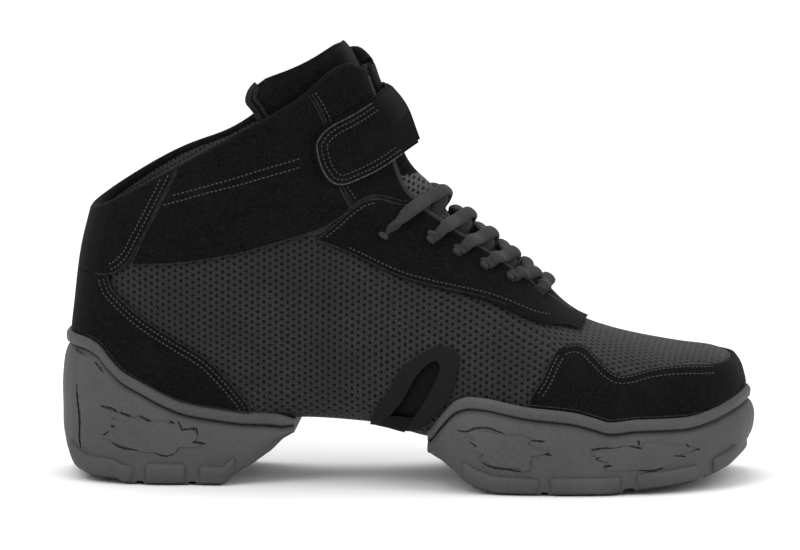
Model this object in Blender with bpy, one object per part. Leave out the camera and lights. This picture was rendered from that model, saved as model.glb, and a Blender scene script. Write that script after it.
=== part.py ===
"""High-top dance sneaker for the right foot, with a split rubber sole.

Metres, +Z up. +X points to the toe and -Y to the outer (lateral) side. The origin is on the floor
under the ball of the foot, on the flat spot of the forefoot unit.
"""
import math

import bmesh
import bpy
import numpy as np
from mathutils import Vector
from mathutils.bvhtree import BVHTree

# Main sizes of the last, over the upper
LENGTH = 0.264
BALL_WIDTH = 0.0915
HEEL_WIDTH = 0.0665
SOLE_HEIGHT = 0.018
INSTEP_HEIGHT = 0.105
COLLAR_HEIGHT = 0.166

# Walls and layers
GAP = 0.0003
WALL = 0.0024
COLLAR_WALL = 0.0034
OVERLAY = 0.0012
TRIM = 0.0009
GUSSET = 0.0011
INSOLE = 0.0030
TONGUE = 0.0042
TONGUE_GAP = 0.0019
TONGUE_TILT = 0.0060
LASTING_MARGIN = 0.010
STRAP = 0.0020
RIM_GAP = 0.0008
LACE_RADIUS = 0.0022
LACE_RISE = 0.0012
EYELET_BORE = 0.0018
EYELET_TUBE = 0.0005
EYELET_FLANGE = 0.0009
EYELET_LIFT = 0.0002
EYELET_HEAD = 0.0006
EYELET_DEPTH = 0.0016

# Rubber units: how far each step of the side stands out from the upper, and how deep it lies
BEAD_OUT = 0.0031
BEAD_HEIGHT = 0.0044
GROOVE_OUT = 0.0021
GROOVE_HEIGHT = 0.0010
SIDE_OUT = 0.0045
FOOT_OUT = 0.0030
FOOT_RADIUS = 0.0022
UNIT_END = 0.0026
LUG_OUT = 0.0013
LUG_HEIGHT = 0.0068
LUG_LIFT = 0.0006
LUG_ROOT = 0.3
LUG_END = 0.45
LUG_EDGE = 0.35
LUG_CORNER = 0.12
TREAD_WIDTH = 0.0032
TREAD_DEPTH = 0.0016
TREAD_REACH = 0.010
CUP_INSET = 0.0016
SIGHT = 0.150
NORMAL_STEP = 0.002

# Shape shares: where the origin lies along the length, and which shares of the collar height the
# sole and the instep stand at
BALL_AT = 0.7727
SOLE_SHARE = 0.108
INSTEP_SHARE = 0.6325
HEIGHT_LEVELS = (
    (0.0, 0.0),
    (SOLE_SHARE, SOLE_HEIGHT),
    (INSTEP_SHARE, INSTEP_HEIGHT),
    (1.0, COLLAR_HEIGHT),
    (1.5, 1.5 * COLLAR_HEIGHT),
)

# Sections from the toe to the collar, and two above it for the tongue. Each runs in a plane from
# its base point (under or behind the foot) to its top point (over or before it). Along is a share
# of LENGTH from the heel, up a share of COLLAR_HEIGHT, and the rest are shares of the local width;
# peak is where the section is widest, low and high are the roundness of its two halves.
SECTION_COLUMNS = (
    "top_along", "top_up", "base_along", "base_up",
    "centre", "lateral", "medial", "peak", "low", "high", "throat",
)
SECTIONS = (
    (0.9970, 0.238, 0.9955, 0.196, 0.066, 0.077, 0.077, 0.45, 2.2, 2.2, 0.0),
    (0.9900, 0.268, 0.9830, 0.163, 0.066, 0.197, 0.186, 0.42, 2.6, 2.4, 0.0),
    (0.9735, 0.297, 0.9620, 0.140, 0.060, 0.295, 0.268, 0.40, 3.0, 2.6, 0.0),
    (0.9470, 0.311, 0.9355, 0.123, 0.055, 0.382, 0.339, 0.38, 3.5, 2.6, 0.0),
    (0.9050, 0.319, 0.8980, 0.108, 0.044, 0.442, 0.399, 0.36, 4.0, 2.5, 0.0),
    (0.8600, 0.332, 0.8485, 0.096, 0.033, 0.486, 0.448, 0.35, 4.0, 2.3, 0.0),
    (0.8105, 0.351, 0.7915, 0.090, 0.022, 0.513, 0.473, 0.35, 4.0, 2.1, 0.0),
    (0.7500, 0.387, 0.7195, 0.090, 0.011, 0.521, 0.479, 0.33, 4.0, 2.0, 0.0),
    (0.6875, 0.474, 0.6290, 0.098, 0.011, 0.510, 0.444, 0.30, 4.0, 1.9, 0.100),
    (0.6210, 0.569, 0.5380, 0.112, 0.012, 0.498, 0.400, 0.28, 4.0, 1.85, 0.142),
    (0.5680, 0.644, 0.4545, 0.142, 0.012, 0.485, 0.375, 0.28, 4.0, 1.9, 0.164),
    (0.5320, 0.708, 0.3485, 0.150, 0.007, 0.487, 0.405, 0.30, 4.0, 2.0, 0.175),
    (0.5150, 0.762, 0.2045, 0.106, 0.0, 0.496, 0.466, 0.32, 3.6, 2.15, 0.175),
    (0.5020, 0.813, 0.0680, 0.114, 0.0, 0.504, 0.489, 0.36, 3.0, 2.3, 0.175),
    (0.4925, 0.856, 0.0115, 0.196, 0.0, 0.504, 0.496, 0.40, 2.6, 2.45, 0.170),
    (0.4830, 0.895, 0.0010, 0.313, 0.0, 0.504, 0.496, 0.42, 2.4, 2.6, 0.164),
    (0.4735, 0.934, 0.0070, 0.422, 0.0, 0.511, 0.504, 0.42, 2.4, 2.6, 0.164),
    (0.4620, 0.973, 0.0150, 0.530, 0.0, 0.519, 0.511, 0.42, 2.4, 2.6, 0.164),
    (0.4470, 1.009, 0.0320, 0.646, 0.0, 0.526, 0.519, 0.42, 2.4, 2.6, 0.164),
    (0.4220, 1.039, 0.0420, 0.711, 0.0, 0.526, 0.519, 0.42, 2.4, 2.6, 0.164),
    (0.3940, 1.063, 0.0530, 0.783, 0.0, 0.520, 0.513, 0.42, 2.4, 2.6, 0.164),
)
TOE_POINT = (1.0, 0.216, 0.066)
THROAT_ROW = 7.0
PAD_ROW = 14.0
TILT_ROW = 16.0
COLLAR_ROW = 18.0

# The collar's front corners rise over its plane and are rounded off at the front
EAR_RISE = 0.0042
EAR_AT = 0.402
EAR_SPAN = 0.036
EAR_DROP = 0.0095
EAR_DROP_FROM = 0.415
EAR_DROP_TO = 0.465

# The inner side of the collar is lower half-way along
DIP = 0.004
DIP_AT = 0.235
DIP_SPAN = 0.062

# Upper edge of each rubber unit and its underside, along share against height share
HEEL_RIM = (
    (0.000, 0.346), (0.030, 0.343), (0.050, 0.330), (0.067, 0.298), (0.085, 0.269),
    (0.110, 0.245), (0.140, 0.219), (0.174, 0.197), (0.220, 0.184), (0.266, 0.175),
    (0.311, 0.171), (0.339, 0.160),
)
HEEL_FLOOR = (
    (-0.019, 0.104), (-0.010, 0.060), (0.008, 0.024), (0.030, 0.010), (0.070, 0.010),
    (0.083, 0.0), (0.232, 0.0), (0.250, 0.028), (0.277, 0.052), (0.305, 0.084),
    (0.322, 0.112), (0.339, 0.128),
)
FORE_RIM = (
    (0.540, 0.140), (0.549, 0.156), (0.563, 0.186), (0.586, 0.223), (0.606, 0.232),
    (0.628, 0.230), (0.662, 0.220), (0.693, 0.211), (0.727, 0.206), (0.760, 0.200),
    (0.791, 0.187), (0.818, 0.175), (0.856, 0.180), (0.919, 0.179), (0.958, 0.190),
    (0.985, 0.208), (1.000, 0.221),
)
FORE_FLOOR = (
    (0.540, 0.092), (0.563, 0.078), (0.580, 0.056), (0.597, 0.032), (0.614, 0.014),
    (0.645, 0.0), (0.818, 0.0), (0.841, 0.007), (0.903, 0.015), (0.958, 0.028),
    (0.985, 0.046), (1.005, 0.072), (1.014, 0.100),
)
HEEL_TURN = 0.121
HEEL_END = 0.339
TOE_TURN = 0.856
FORE_END = 0.541

# Lugs on the sides of the units: turn 0 to 1 rounds the tip and 1 to 2 runs along the side; rise is
# the height of each end of the lug as a share of LUG_HEIGHT
HEEL_LUGS = (
    (0.31, 0.89, 1.35, 1.10),
    (0.98, 1.26, 1.25, 1.25),
    (1.35, 1.60, 1.15, 1.00),
)
FORE_LUGS = (
    (0.30, 0.53, 0.90, 0.95),
    (0.64, 1.00, 0.95, 1.00),
    (1.07, 1.41, 1.05, 1.05),
    (1.46, 1.83, 1.00, 1.15),
)
HEEL_TREADS = (0.108, 0.187)
FORE_TREADS = (0.719, 0.843, 0.947)

# Outlines of the overlays, seen from the side: along share against height share
TOE_CAP_EDGE = (
    (0.696, 0.222), (0.704, 0.246), (0.713, 0.267), (0.725, 0.310), (0.736, 0.336), (0.752, 0.346),
    (0.773, 0.340), (0.791, 0.319), (0.812, 0.292), (0.827, 0.280), (0.843, 0.281), (0.872, 0.290),
    (0.915, 0.294), (0.961, 0.291), (0.990, 0.290), (1.040, 0.290),
)
COUNTER_EDGE = (
    (-0.040, 0.497), (0.060, 0.497), (0.066, 0.466), (0.084, 0.436), (0.108, 0.404), (0.157, 0.354),
    (0.209, 0.303), (0.234, 0.264), (0.252, 0.232), (0.272, 0.186),
)
BACK_PANEL = (
    (-0.040, 0.503), (0.068, 0.503), (0.092, 0.535), (0.110, 0.588), (0.127, 0.642), (0.147, 0.706),
    (0.163, 0.766), (0.170, 0.850), (-0.040, 0.850),
)
COLLAR_PANEL = (
    (0.097, 0.528), (0.170, 0.536), (0.245, 0.556), (0.318, 0.588), (0.372, 0.615), (0.401, 0.638),
    (0.421, 0.664), (0.402, 0.724), (0.390, 0.800), (0.380, 0.874), (0.369, 0.913), (0.350, 0.960),
    (0.200, 0.950), (0.174, 0.850), (0.166, 0.766), (0.150, 0.706), (0.130, 0.642), (0.113, 0.588),
)
COLLAR_EAR = (
    (0.426, 0.672), (0.407, 0.724), (0.395, 0.800), (0.385, 0.874), (0.374, 0.913), (0.355, 0.965),
    (0.400, 1.080), (0.560, 1.080), (0.560, 0.680), (0.500, 0.672), (0.481, 0.682), (0.458, 0.692),
    (0.440, 0.687),
)
EYESTAY = (
    (0.764, 0.372), (0.743, 0.384), (0.708, 0.396), (0.685, 0.410), (0.660, 0.429), (0.623, 0.452),
    (0.587, 0.467), (0.542, 0.484), (0.497, 0.505), (0.452, 0.536), (0.415, 0.564), (0.372, 0.591),
    (0.402, 0.631), (0.424, 0.662), (0.440, 0.678), (0.458, 0.683), (0.481, 0.672), (0.497, 0.664),
    (0.560, 0.664), (0.680, 0.560), (0.780, 0.430),
)
ARCH_SLOT = (
    (0.482, 0.172), (0.503, 0.215), (0.524, 0.274), (0.545, 0.308), (0.555, 0.313), (0.560, 0.301),
    (0.550, 0.256), (0.538, 0.217), (0.520, 0.172),
)
ARCH_TRIM = (
    (0.526, 0.170), (0.554, 0.184), (0.566, 0.206), (0.577, 0.237), (0.586, 0.289), (0.588, 0.328),
    (0.576, 0.344), (0.555, 0.346), (0.530, 0.327), (0.503, 0.294), (0.482, 0.238), (0.465, 0.199),
    (0.450, 0.170), (0.478, 0.164),
)
STRAP_EDGE = (
    (0.371, 0.803), (0.370, 0.824), (0.376, 0.843), (0.388, 0.862), (0.417, 0.886), (0.447, 0.912),
    (0.475, 0.934), (0.560, 1.000), (0.600, 0.870), (0.515, 0.806), (0.490, 0.786), (0.460, 0.757),
    (0.430, 0.736), (0.408, 0.725), (0.394, 0.730), (0.381, 0.755),
)

# Eyelets from the top down, along share against height share, the same on both sides
EYELETS = (
    (0.473, 0.598), (0.541, 0.584), (0.580, 0.553), (0.620, 0.518), (0.658, 0.486), (0.697, 0.449),
)
LACING_SLOPE = (0.587, 0.810)

# Tongue: row of the sections against its half width, as a share of the ball width
TONGUE_SHAPE = (
    (7.2, 0.12), (8.0, 0.22), (9.0, 0.28), (11.0, 0.32), (13.0, 0.38), (15.0, 0.50),
    (16.5, 0.66), (18.0, 0.755), (18.5, 0.755), (18.9, 0.715), (19.1, 0.665), (19.2, 0.615),
)
TONGUE_ROWS = (7.2, 8.0, 9.0, 10.0, 11.0, 12.2, 13.4, 14.8, 16.2, 17.4, 18.4, 18.9, 19.2)

# Rows of the sections where the underside is open, and those the insole spans
BASE_OPENING_FORE = (3.0, 8.25)
BASE_OPENING_HEEL = (11.25, 13.5)
INSOLE_ROWS = (1.5, 13.5)
INSOLE_EDGE = 0.7

# Laces: how far below the eyelets a lace looks for the tongue, and the shares of its way from an
# eyelet where it dips and where it stops
LACE_REACH = 0.012
LACE_EDGE = 0.17
LACE_END = 0.66

# Counts of the faceted surfaces
SECTION_STEP = 0.75
BASE_COLUMNS = 4
SIDE_COLUMNS = 8
FRONT_COLUMNS = 6
UNDER_COLUMNS = 4
TONGUE_COLUMNS = 5
RIM_STEPS = 14
LUG_STEPS = 4
LUG_LEVELS = 4
RING_POINTS = 181
EYELET_SIDES = 6
LACE_SIDES = 6
LACE_STEPS = 6
BASE_SHARE = 0.35
WELD = 0.00001


def smooth(value):
    """Soft step from 0 to 1."""
    value = np.clip(value, 0.0, 1.0)
    return value * value * (3.0 - 2.0 * value)


def height(up):
    """Height over the floor of a share of the collar height."""
    shares, levels = zip(*HEIGHT_LEVELS)
    return np.interp(up, shares, levels)


def at(along):
    """X of a share of the length, measured from the heel."""
    return (along - BALL_AT) * LENGTH


def local_width(along):
    """Width that the shares of a section follow: the heel's, then the ball's."""
    return HEEL_WIDTH + (BALL_WIDTH - HEEL_WIDTH) * smooth((along - 0.2) / 0.5)


def spline(keys, values, where):
    """Smooth curve through the values at rising keys, flat slopes kept at turning points."""
    keys = np.asarray(keys, float)
    values = np.asarray(values, float)
    step = np.diff(keys)
    slope = np.diff(values) / step
    tangent = np.empty_like(values)
    tangent[0] = slope[0]
    tangent[-1] = slope[-1]
    product = slope[:-1] * slope[1:]
    total = slope[:-1] + slope[1:]
    tangent[1:-1] = np.where(product > 0, 2.0 * product / np.where(product > 0, total, 1.0), 0.0)
    where = np.clip(where, keys[0], keys[-1])
    index = np.clip(np.searchsorted(keys, where, side="right") - 1, 0, len(keys) - 2)
    t = (where - keys[index]) / step[index]
    h = step[index]
    return (
        (1 + 2 * t) * (1 - t) ** 2 * values[index]
        + t * (1 - t) ** 2 * h * tangent[index]
        + t * t * (3 - 2 * t) * values[index + 1]
        + t * t * (t - 1) * h * tangent[index + 1]
    )


def section_row(u):
    """Columns of the section table at row u, read smoothly between the rows."""
    keys = np.arange(len(SECTIONS))
    return {
        name: float(spline(keys, [row[i] for row in SECTIONS], u))
        for i, name in enumerate(SECTION_COLUMNS)
    }


def section(u):
    """Points of the closed section at row u, and their running length from the base.

    They run from the top down the lateral side, across the base and up the medial side.
    """
    row = section_row(u)
    width = local_width(row["base_along"])
    turn = np.linspace(-math.pi, math.pi, RING_POINTS)
    low_half = np.abs(turn) <= math.pi / 2
    power = np.where(low_half, row["low"], row["high"])
    cosine = np.abs(np.cos(turn)) ** (2.0 / power)
    sine = np.abs(np.sin(turn)) ** (2.0 / power)
    half = np.where(turn < 0, -row["lateral"], row["medial"]) * width
    peak = row["peak"]
    share = np.where(low_half, peak * (1 - cosine), peak + (1 - peak) * cosine)
    base = np.array([at(row["base_along"]), 0.0, height(row["base_up"])])
    top = np.array([at(row["top_along"]), 0.0, height(row["top_up"])])
    points = base + share[:, None] * (top - base)
    points[:, 1] = row["centre"] * width + half * sine
    ear = np.exp(-(((points[:, 0] - at(EAR_AT)) / (EAR_SPAN * LENGTH)) ** 2))
    corner = smooth((points[:, 0] - at(EAR_DROP_FROM)) / (at(EAR_DROP_TO) - at(EAR_DROP_FROM)))
    near_collar = smooth((u - PAD_ROW) / (COLLAR_ROW - PAD_ROW))
    inner = smooth(points[:, 1] / (row["medial"] * width))
    dip = np.exp(-(((points[:, 0] - at(DIP_AT)) / (DIP_SPAN * LENGTH)) ** 2)) * inner
    points[:, 2] += (EAR_RISE * ear - EAR_DROP * corner - DIP * dip) * near_collar
    run = np.concatenate([[0.0], np.cumsum(np.linalg.norm(np.diff(points, axis=0), axis=1))])
    return points, run - run[RING_POINTS // 2]


def read(points, run, where):
    """Points of a section at the given running lengths."""
    return np.stack([np.interp(where, run, points[:, axis]) for axis in range(3)], axis=-1)


def columns(u):
    """Running lengths of the upper's columns at row u, from one throat edge to the other."""
    row = section_row(u)
    points, run = section(u)
    width = local_width(row["base_along"])
    throat = row["throat"] * BALL_WIDTH if u > THROAT_ROW else 0.0
    away = np.abs(points[:, 1] - row["centre"] * width)
    quarter = RING_POINTS // 4
    lateral_end = np.interp(throat, away[:quarter], run[:quarter])
    medial_end = np.interp(-throat, -away[-quarter:], run[-quarter:])
    lateral_base = max(row["lateral"] * width - LASTING_MARGIN, BASE_SHARE * row["lateral"] * width)
    medial_base = max(row["medial"] * width - LASTING_MARGIN, BASE_SHARE * row["medial"] * width)
    return np.concatenate([
        np.linspace(lateral_end, -lateral_base, SIDE_COLUMNS, endpoint=False),
        np.linspace(-lateral_base, medial_base, BASE_COLUMNS, endpoint=False),
        np.linspace(medial_base, medial_end, SIDE_COLUMNS + 1),
    ])


def scaled(shares, run):
    """Lengths along a section for shares of its two halves, from -1 to 1."""
    return np.where(shares < 0, -shares * run[0], shares * run[-1])


def normals(u, runs):
    """Outward directions of the surface at row u."""
    before, before_run = section(max(u - 0.03, 0.0))
    after, after_run = section(min(u + 0.03, len(SECTIONS) - 1.0))
    here, here_run = section(u)
    shares = np.where(runs < 0, -runs / here_run[0], runs / here_run[-1])
    forward = read(after, after_run, scaled(shares, after_run))
    forward -= read(before, before_run, scaled(shares, before_run))
    low = np.clip(runs - NORMAL_STEP, here_run[0], here_run[-1])
    high = np.clip(runs + NORMAL_STEP, here_run[0], here_run[-1])
    across = read(here, here_run, high) - read(here, here_run, low)
    at_top = (low == here_run[0]) | (high == here_run[-1])
    across[at_top & (runs < 0)] = (0.0, -1.0, 0.0)
    across[at_top & (runs > 0)] = (0.0, -1.0, 0.0)
    direction = np.cross(forward, across)
    return direction / np.linalg.norm(direction, axis=1)[:, None]


def surface(rows, run_function, offset):
    """Grid of points over the upper, moved out by the offset at each row."""
    grid = []
    for u in rows:
        runs = run_function(u)
        points, run = section(u)
        grid.append(read(points, run, runs) + offset(u) * normals(u, runs))
    grid = np.array(grid)
    closed = np.linalg.norm(grid[:, 0] - grid[:, -1], axis=1) < WELD
    grid[closed, -1] = grid[closed, 0]
    return grid


def section_rows(first, last):
    """Rows of a grid, one of them on the front end of the throat."""
    rows = np.arange(first, last + WELD, SECTION_STEP)
    rows[np.abs(rows - THROAT_ROW) < SECTION_STEP / 2] = THROAT_ROW
    return rows


def toe_point(offset):
    """Foremost point of the upper, moved out by the offset."""
    along, up, centre = TOE_POINT
    return np.array([at(along) + offset, centre * BALL_WIDTH, height(up)])


def with_toe(grid, offset):
    """The grid closed at the toe with its foremost point."""
    tip = np.broadcast_to(toe_point(offset), (1, grid.shape[1], 3))
    return np.concatenate([tip, grid])


def wall_thickness(u):
    """Thickness of the upper at row u: it is padded towards the collar."""
    return WALL + (COLLAR_WALL - WALL) * smooth((u - PAD_ROW) / (COLLAR_ROW - PAD_ROW))


def new_object(name, points, faces):
    """Object from points and faces."""
    mesh = bpy.data.meshes.new(name)
    mesh.from_pydata([tuple(point) for point in points], [], faces)
    mesh.update()
    thing = bpy.data.objects.new(name, mesh)
    bpy.context.scene.collection.objects.link(thing)
    return thing


def split(loop):
    """Triangles of a loop, always with the same diagonal, so that layers stay parallel."""
    return [(loop[0], loop[k], loop[k + 1]) for k in range(1, len(loop) - 1)]


def slab(name, outer, inner, keep=None):
    """Closed solid between two grids of points, over the cells to keep."""
    rows, count = outer.shape[:2]
    if keep is None:
        keep = np.ones((rows - 1, count - 1), bool)
    names = {}
    spots = []
    index = np.empty((rows, count), int)
    for i in range(rows):
        for j in range(count):
            key = tuple(np.round(outer[i, j], 7))
            if key not in names:
                names[key] = len(spots)
                spots.append((i, j))
            index[i, j] = names[key]
    faces = []
    edges = set()
    for i, j in zip(*np.nonzero(keep)):
        loop = [index[i, j], index[i + 1, j], index[i + 1, j + 1], index[i, j + 1]]
        loop = [vertex for k, vertex in enumerate(loop) if vertex != loop[k - 1]]
        if len(loop) < 3:
            continue
        faces += split(loop)
        edges.update((loop[k - 1], loop[k]) for k in range(len(loop)))
    total = len(spots)
    back = [[vertex + total for vertex in reversed(face)] for face in faces]
    rim = [[b, a, a + total, b + total] for a, b in edges if (b, a) not in edges]
    points = [outer[spot] for spot in spots] + [inner[spot] for spot in spots]
    thing = new_object(name, points, faces + back + rim)
    drop_loose(thing)
    return thing


def drop_loose(thing):
    """Remove points that no face uses."""
    work = bmesh.new()
    work.from_mesh(thing.data)
    loose = [vertex for vertex in work.verts if not vertex.link_faces]
    bmesh.ops.delete(work, geom=loose, context="VERTS")
    work.to_mesh(thing.data)
    work.free()


def material(name, colour, roughness):
    """Plain material of a sub-part."""
    made = bpy.data.materials.get(name)
    if made is None:
        made = bpy.data.materials.new(name)
        made.use_nodes = True
        shader = made.node_tree.nodes["Principled BSDF"]
        shader.inputs["Base Color"].default_value = (*colour, 1.0)
        shader.inputs["Roughness"].default_value = roughness
    return made


def finish(thing, made):
    """Give the object its material and smooth shading."""
    thing.data.materials.clear()
    thing.data.materials.append(made)
    thing.data.shade_smooth()
    thing.data.set_sharp_from_angle(angle=math.radians(35))


def boolean(thing, operation, other):
    """Cut or join, apply it and remove the cutter."""
    modifier = thing.modifiers.new(operation.lower(), "BOOLEAN")
    modifier.operation = operation
    modifier.object = other
    modifier.solver = "EXACT"
    bpy.context.view_layer.update()
    evaluated = thing.evaluated_get(bpy.context.evaluated_depsgraph_get())
    mesh = bpy.data.meshes.new_from_object(evaluated)
    thing.modifiers.clear()
    thing.data = mesh
    bpy.data.objects.remove(other)


def hull(name, offset):
    """Closed solid of the whole upper's outside, its throat and collar filled."""
    rows = section_rows(0.0, COLLAR_ROW)

    def whole(u):
        run = section(u)[1]
        sides = columns(u)
        if u <= THROAT_ROW:
            sides[0] = (run[0] + sides[1]) / 2
            sides[-1] = (run[-1] + sides[-2]) / 2
        return np.concatenate([[run[0]], sides, [run[-1]]])

    grid = with_toe(surface(rows, whole, lambda u: offset), offset)
    rows_count, count = grid.shape[:2]
    points = [tuple(point) for point in grid[1:, :-1].reshape(-1, 3)]
    tip = len(points)
    points.append(tuple(grid[0, 0]))
    ring = count - 1
    faces = []
    for i in range(rows_count - 2):
        for j in range(ring):
            k = (j + 1) % ring
            faces += split((i * ring + j, (i + 1) * ring + j, (i + 1) * ring + k, i * ring + k))
    faces += [(tip, j, (j + 1) % ring) for j in range(ring)]
    last = (rows_count - 2) * ring
    faces.append([last + j for j in range(ring)])
    return new_object(name, points, faces)


def make_upper(made, tree):
    """Knit body: one wall, open at the collar, the throat, the arch slots and under the foot."""
    rows = section_rows(0.0, COLLAR_ROW)
    outer = with_toe(surface(rows, columns, lambda u: 0.0), 0.0)
    inner = with_toe(surface(rows, columns, lambda u: -wall_thickness(u)), -WALL)
    keep = np.ones((outer.shape[0] - 1, outer.shape[1] - 1), bool)
    base = slice(SIDE_COLUMNS, SIDE_COLUMNS + BASE_COLUMNS)
    for first, last in (BASE_OPENING_FORE, BASE_OPENING_HEEL):
        start = int(round(first / SECTION_STEP)) + 1
        stop = int(round(last / SECTION_STEP)) + 1
        keep[start:stop, base] = False
    thing = slab("upper", outer, inner, keep)
    for side in ("lateral", "medial"):
        boolean(thing, "DIFFERENCE", prism(ARCH_SLOT, side))
    boolean(thing, "DIFFERENCE", eyelet_bores(tree))
    finish(thing, made)
    return thing


def base_height(x):
    """Height of the upper's underside on the centre line."""
    rows = [row for row in SECTIONS if row[SECTION_COLUMNS.index("base_up")] < 0.2][::-1]
    xs = [at(row[2]) for row in rows]
    return np.interp(x, xs, [float(height(row[3])) for row in rows])


def unit_frame(unit, side, turn):
    """Start point and outward direction at a turn round a rubber unit."""
    sign = -1.0 if side == "lateral" else 1.0
    tip = -1.0 if unit["name"] == "outsole_heel" else 1.0
    centre = Vector((at(unit["turn"]), unit["centre"], 0.0))
    if turn <= 1.0:
        angle = turn * math.pi / 2
        return centre, Vector((tip * math.cos(angle), sign * math.sin(angle), 0.0))
    x = at(unit["turn"]) + (turn - 1.0) * (at(unit["end"]) - at(unit["turn"]))
    return Vector((x, unit["centre"], 0.0)), Vector((0.0, sign, 0.0))


def reach(tree, start, direction, z):
    """Distance from the start point to the upper's outside at a height."""
    origin = start + direction * SIGHT + Vector((0.0, 0.0, z))
    spot = tree.ray_cast(origin, -direction, SIGHT)[0]
    return SIGHT if spot is None else (spot - start).to_2d().length


def unit_column(unit, tree, side, turn):
    """Ground plan point, direction, rim height and floor height of one column."""
    start, direction = unit_frame(unit, side, turn)
    guess = start + direction * reach(tree, start, direction, float(height(0.21)))
    along = guess.x / LENGTH + BALL_AT
    rim = float(height(spline(*zip(*unit["rim"]), along)))
    level = max(rim - BEAD_HEIGHT / 2, float(base_height(guess.x)) + BEAD_HEIGHT)
    distance = reach(tree, start, direction, level)
    foot = start + direction * (distance + SIDE_OUT)
    floor = float(height(np.interp(foot.x / LENGTH + BALL_AT, *zip(*unit["floor"]))))
    return start, direction, distance, rim, floor


def side_profile(rim, floor):
    """Steps of a unit's side from the rim to the floor: how far out and how high."""
    room = rim - floor
    bead = min(BEAD_HEIGHT, 0.45 * room)
    groove = rim - bead - GROOVE_HEIGHT * bead / BEAD_HEIGHT
    rest = groove - floor
    foot = min(FOOT_RADIUS, 0.3 * rest)
    return (
        (-CUP_INSET, rim - 0.25 * bead),
        (0.25 * BEAD_OUT, rim - 0.04 * bead),
        (0.65 * BEAD_OUT, rim),
        (BEAD_OUT, rim - 0.30 * bead),
        (BEAD_OUT, rim - 0.70 * bead),
        (GROOVE_OUT, groove + 0.4 * GROOVE_HEIGHT),
        (GROOVE_OUT + 0.35 * (SIDE_OUT - GROOVE_OUT), groove - 0.06 * rest),
        (SIDE_OUT, groove - 0.30 * rest),
        (SIDE_OUT, groove - 0.62 * rest),
        (0.5 * (SIDE_OUT + FOOT_OUT), floor + foot),
        (FOOT_OUT, floor + 0.25 * foot),
        (FOOT_OUT - 0.5 * foot, floor),
    )


def make_unit(unit, tree, made):
    """Rubber cup unit: bead, groove, side and underside, fitted to the upper."""
    sections = []
    for turn in unit["turns"]:
        sides = []
        for side in ("lateral", "medial"):
            start, direction, distance, rim, floor = unit_column(unit, tree, side, turn)
            sides.append([
                start + direction * (distance + out) + Vector((0.0, 0.0, z))
                for out, z in side_profile(rim, floor)
            ])
        lateral, medial = sides
        under = []
        for k in range(1, UNDER_COLUMNS):
            spot = lateral[-1].lerp(medial[-1], k / UNDER_COLUMNS)
            table = float(height(np.interp(spot.x / LENGTH + BALL_AT, *zip(*unit["floor"]))))
            spot.z = min(table, float(base_height(spot.x)) - UNIT_END)
            under.append(spot)
        sections.append(lateral + under + medial[::-1])
    size = len(sections[0])
    half = len(side_profile(1.0, 0.0))
    points = []
    index = []
    for number, loop in enumerate(sections):
        ids = []
        for k, spot in enumerate(loop):
            if number == 0 and k >= half:
                ids.append(ids[half - 1] if k < size - half else ids[size - 1 - k])
            else:
                ids.append(len(points))
                points.append(spot)
        index.append(ids)
    faces = []
    for number in range(len(sections) - 1):
        for k in range(size):
            loop = [index[number][k], index[number][(k + 1) % size],
                    index[number + 1][(k + 1) % size], index[number + 1][k]]
            loop = [vertex for n, vertex in enumerate(loop) if vertex != loop[n - 1]]
            if len(loop) > 2:
                faces.append(loop)
    faces.append(index[-1])
    thing = new_object(unit["name"], points, faces)
    fix_facing(thing)
    for lug in unit["lugs"]:
        for side in ("lateral", "medial"):
            boolean(thing, "UNION", make_lug(unit, tree, side, lug))
    for along in unit["treads"]:
        boolean(thing, "DIFFERENCE", make_tread(unit, along))
    boolean(thing, "DIFFERENCE", hull("cup_space", GAP))
    finish(thing, made)
    return thing


def fix_facing(thing):
    """Turn the faces of a closed mesh outwards."""
    work = bmesh.new()
    work.from_mesh(thing.data)
    bmesh.ops.recalc_face_normals(work, faces=work.faces)
    work.to_mesh(thing.data)
    work.free()


def make_lug(unit, tree, side, lug):
    """One block on a unit's side, following its curve."""
    first, last, first_rise, last_rise = lug
    outer = np.empty((LUG_STEPS, LUG_LEVELS, 3))
    inner = np.empty((LUG_STEPS, LUG_LEVELS, 3))
    for i in range(LUG_STEPS):
        part = i / (LUG_STEPS - 1)
        ends = i in (0, LUG_STEPS - 1)
        turn = first + part * (last - first)
        start, direction, distance, rim, floor = unit_column(unit, tree, side, turn)
        rise = (first_rise + part * (last_rise - first_rise)) * LUG_HEIGHT
        for j in range(LUG_LEVELS):
            level = j / (LUG_LEVELS - 1)
            rounding = min(LUG_END if ends else 1.0, LUG_EDGE if j in (0, LUG_LEVELS - 1) else 1.0)
            inset = LUG_CORNER if ends else 0.0
            z = floor + LUG_LIFT + (inset + (1 - 2 * inset) * level) * rise
            bottom = FOOT_OUT + (SIDE_OUT - FOOT_OUT) * min(1.0, level * rise / (2 * FOOT_RADIUS))
            out = bottom + LUG_OUT * rounding
            outer[i, j] = start + direction * (distance + out) + Vector((0.0, 0.0, z))
            inner[i, j] = start + direction * (distance + LUG_ROOT * SIDE_OUT) + Vector((0.0, 0.0, z))
    thing = slab("lug", outer, inner)
    fix_facing(thing)
    return thing


def make_tread(unit, along):
    """Bar that cuts one groove across the underside."""
    x = at(along)
    floor = float(height(np.interp(along, *zip(*unit["floor"]))))
    corners = [
        (x + i * TREAD_WIDTH / 2, j * BALL_WIDTH, z)
        for z in (-TREAD_REACH, floor + TREAD_DEPTH) for j in (-1, 1) for i in (-1, 1)
    ]
    faces = [(0, 2, 3, 1), (4, 5, 7, 6), (0, 1, 5, 4), (2, 6, 7, 3), (0, 4, 6, 2), (1, 3, 7, 5)]
    return new_object("tread", corners, faces)


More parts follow.
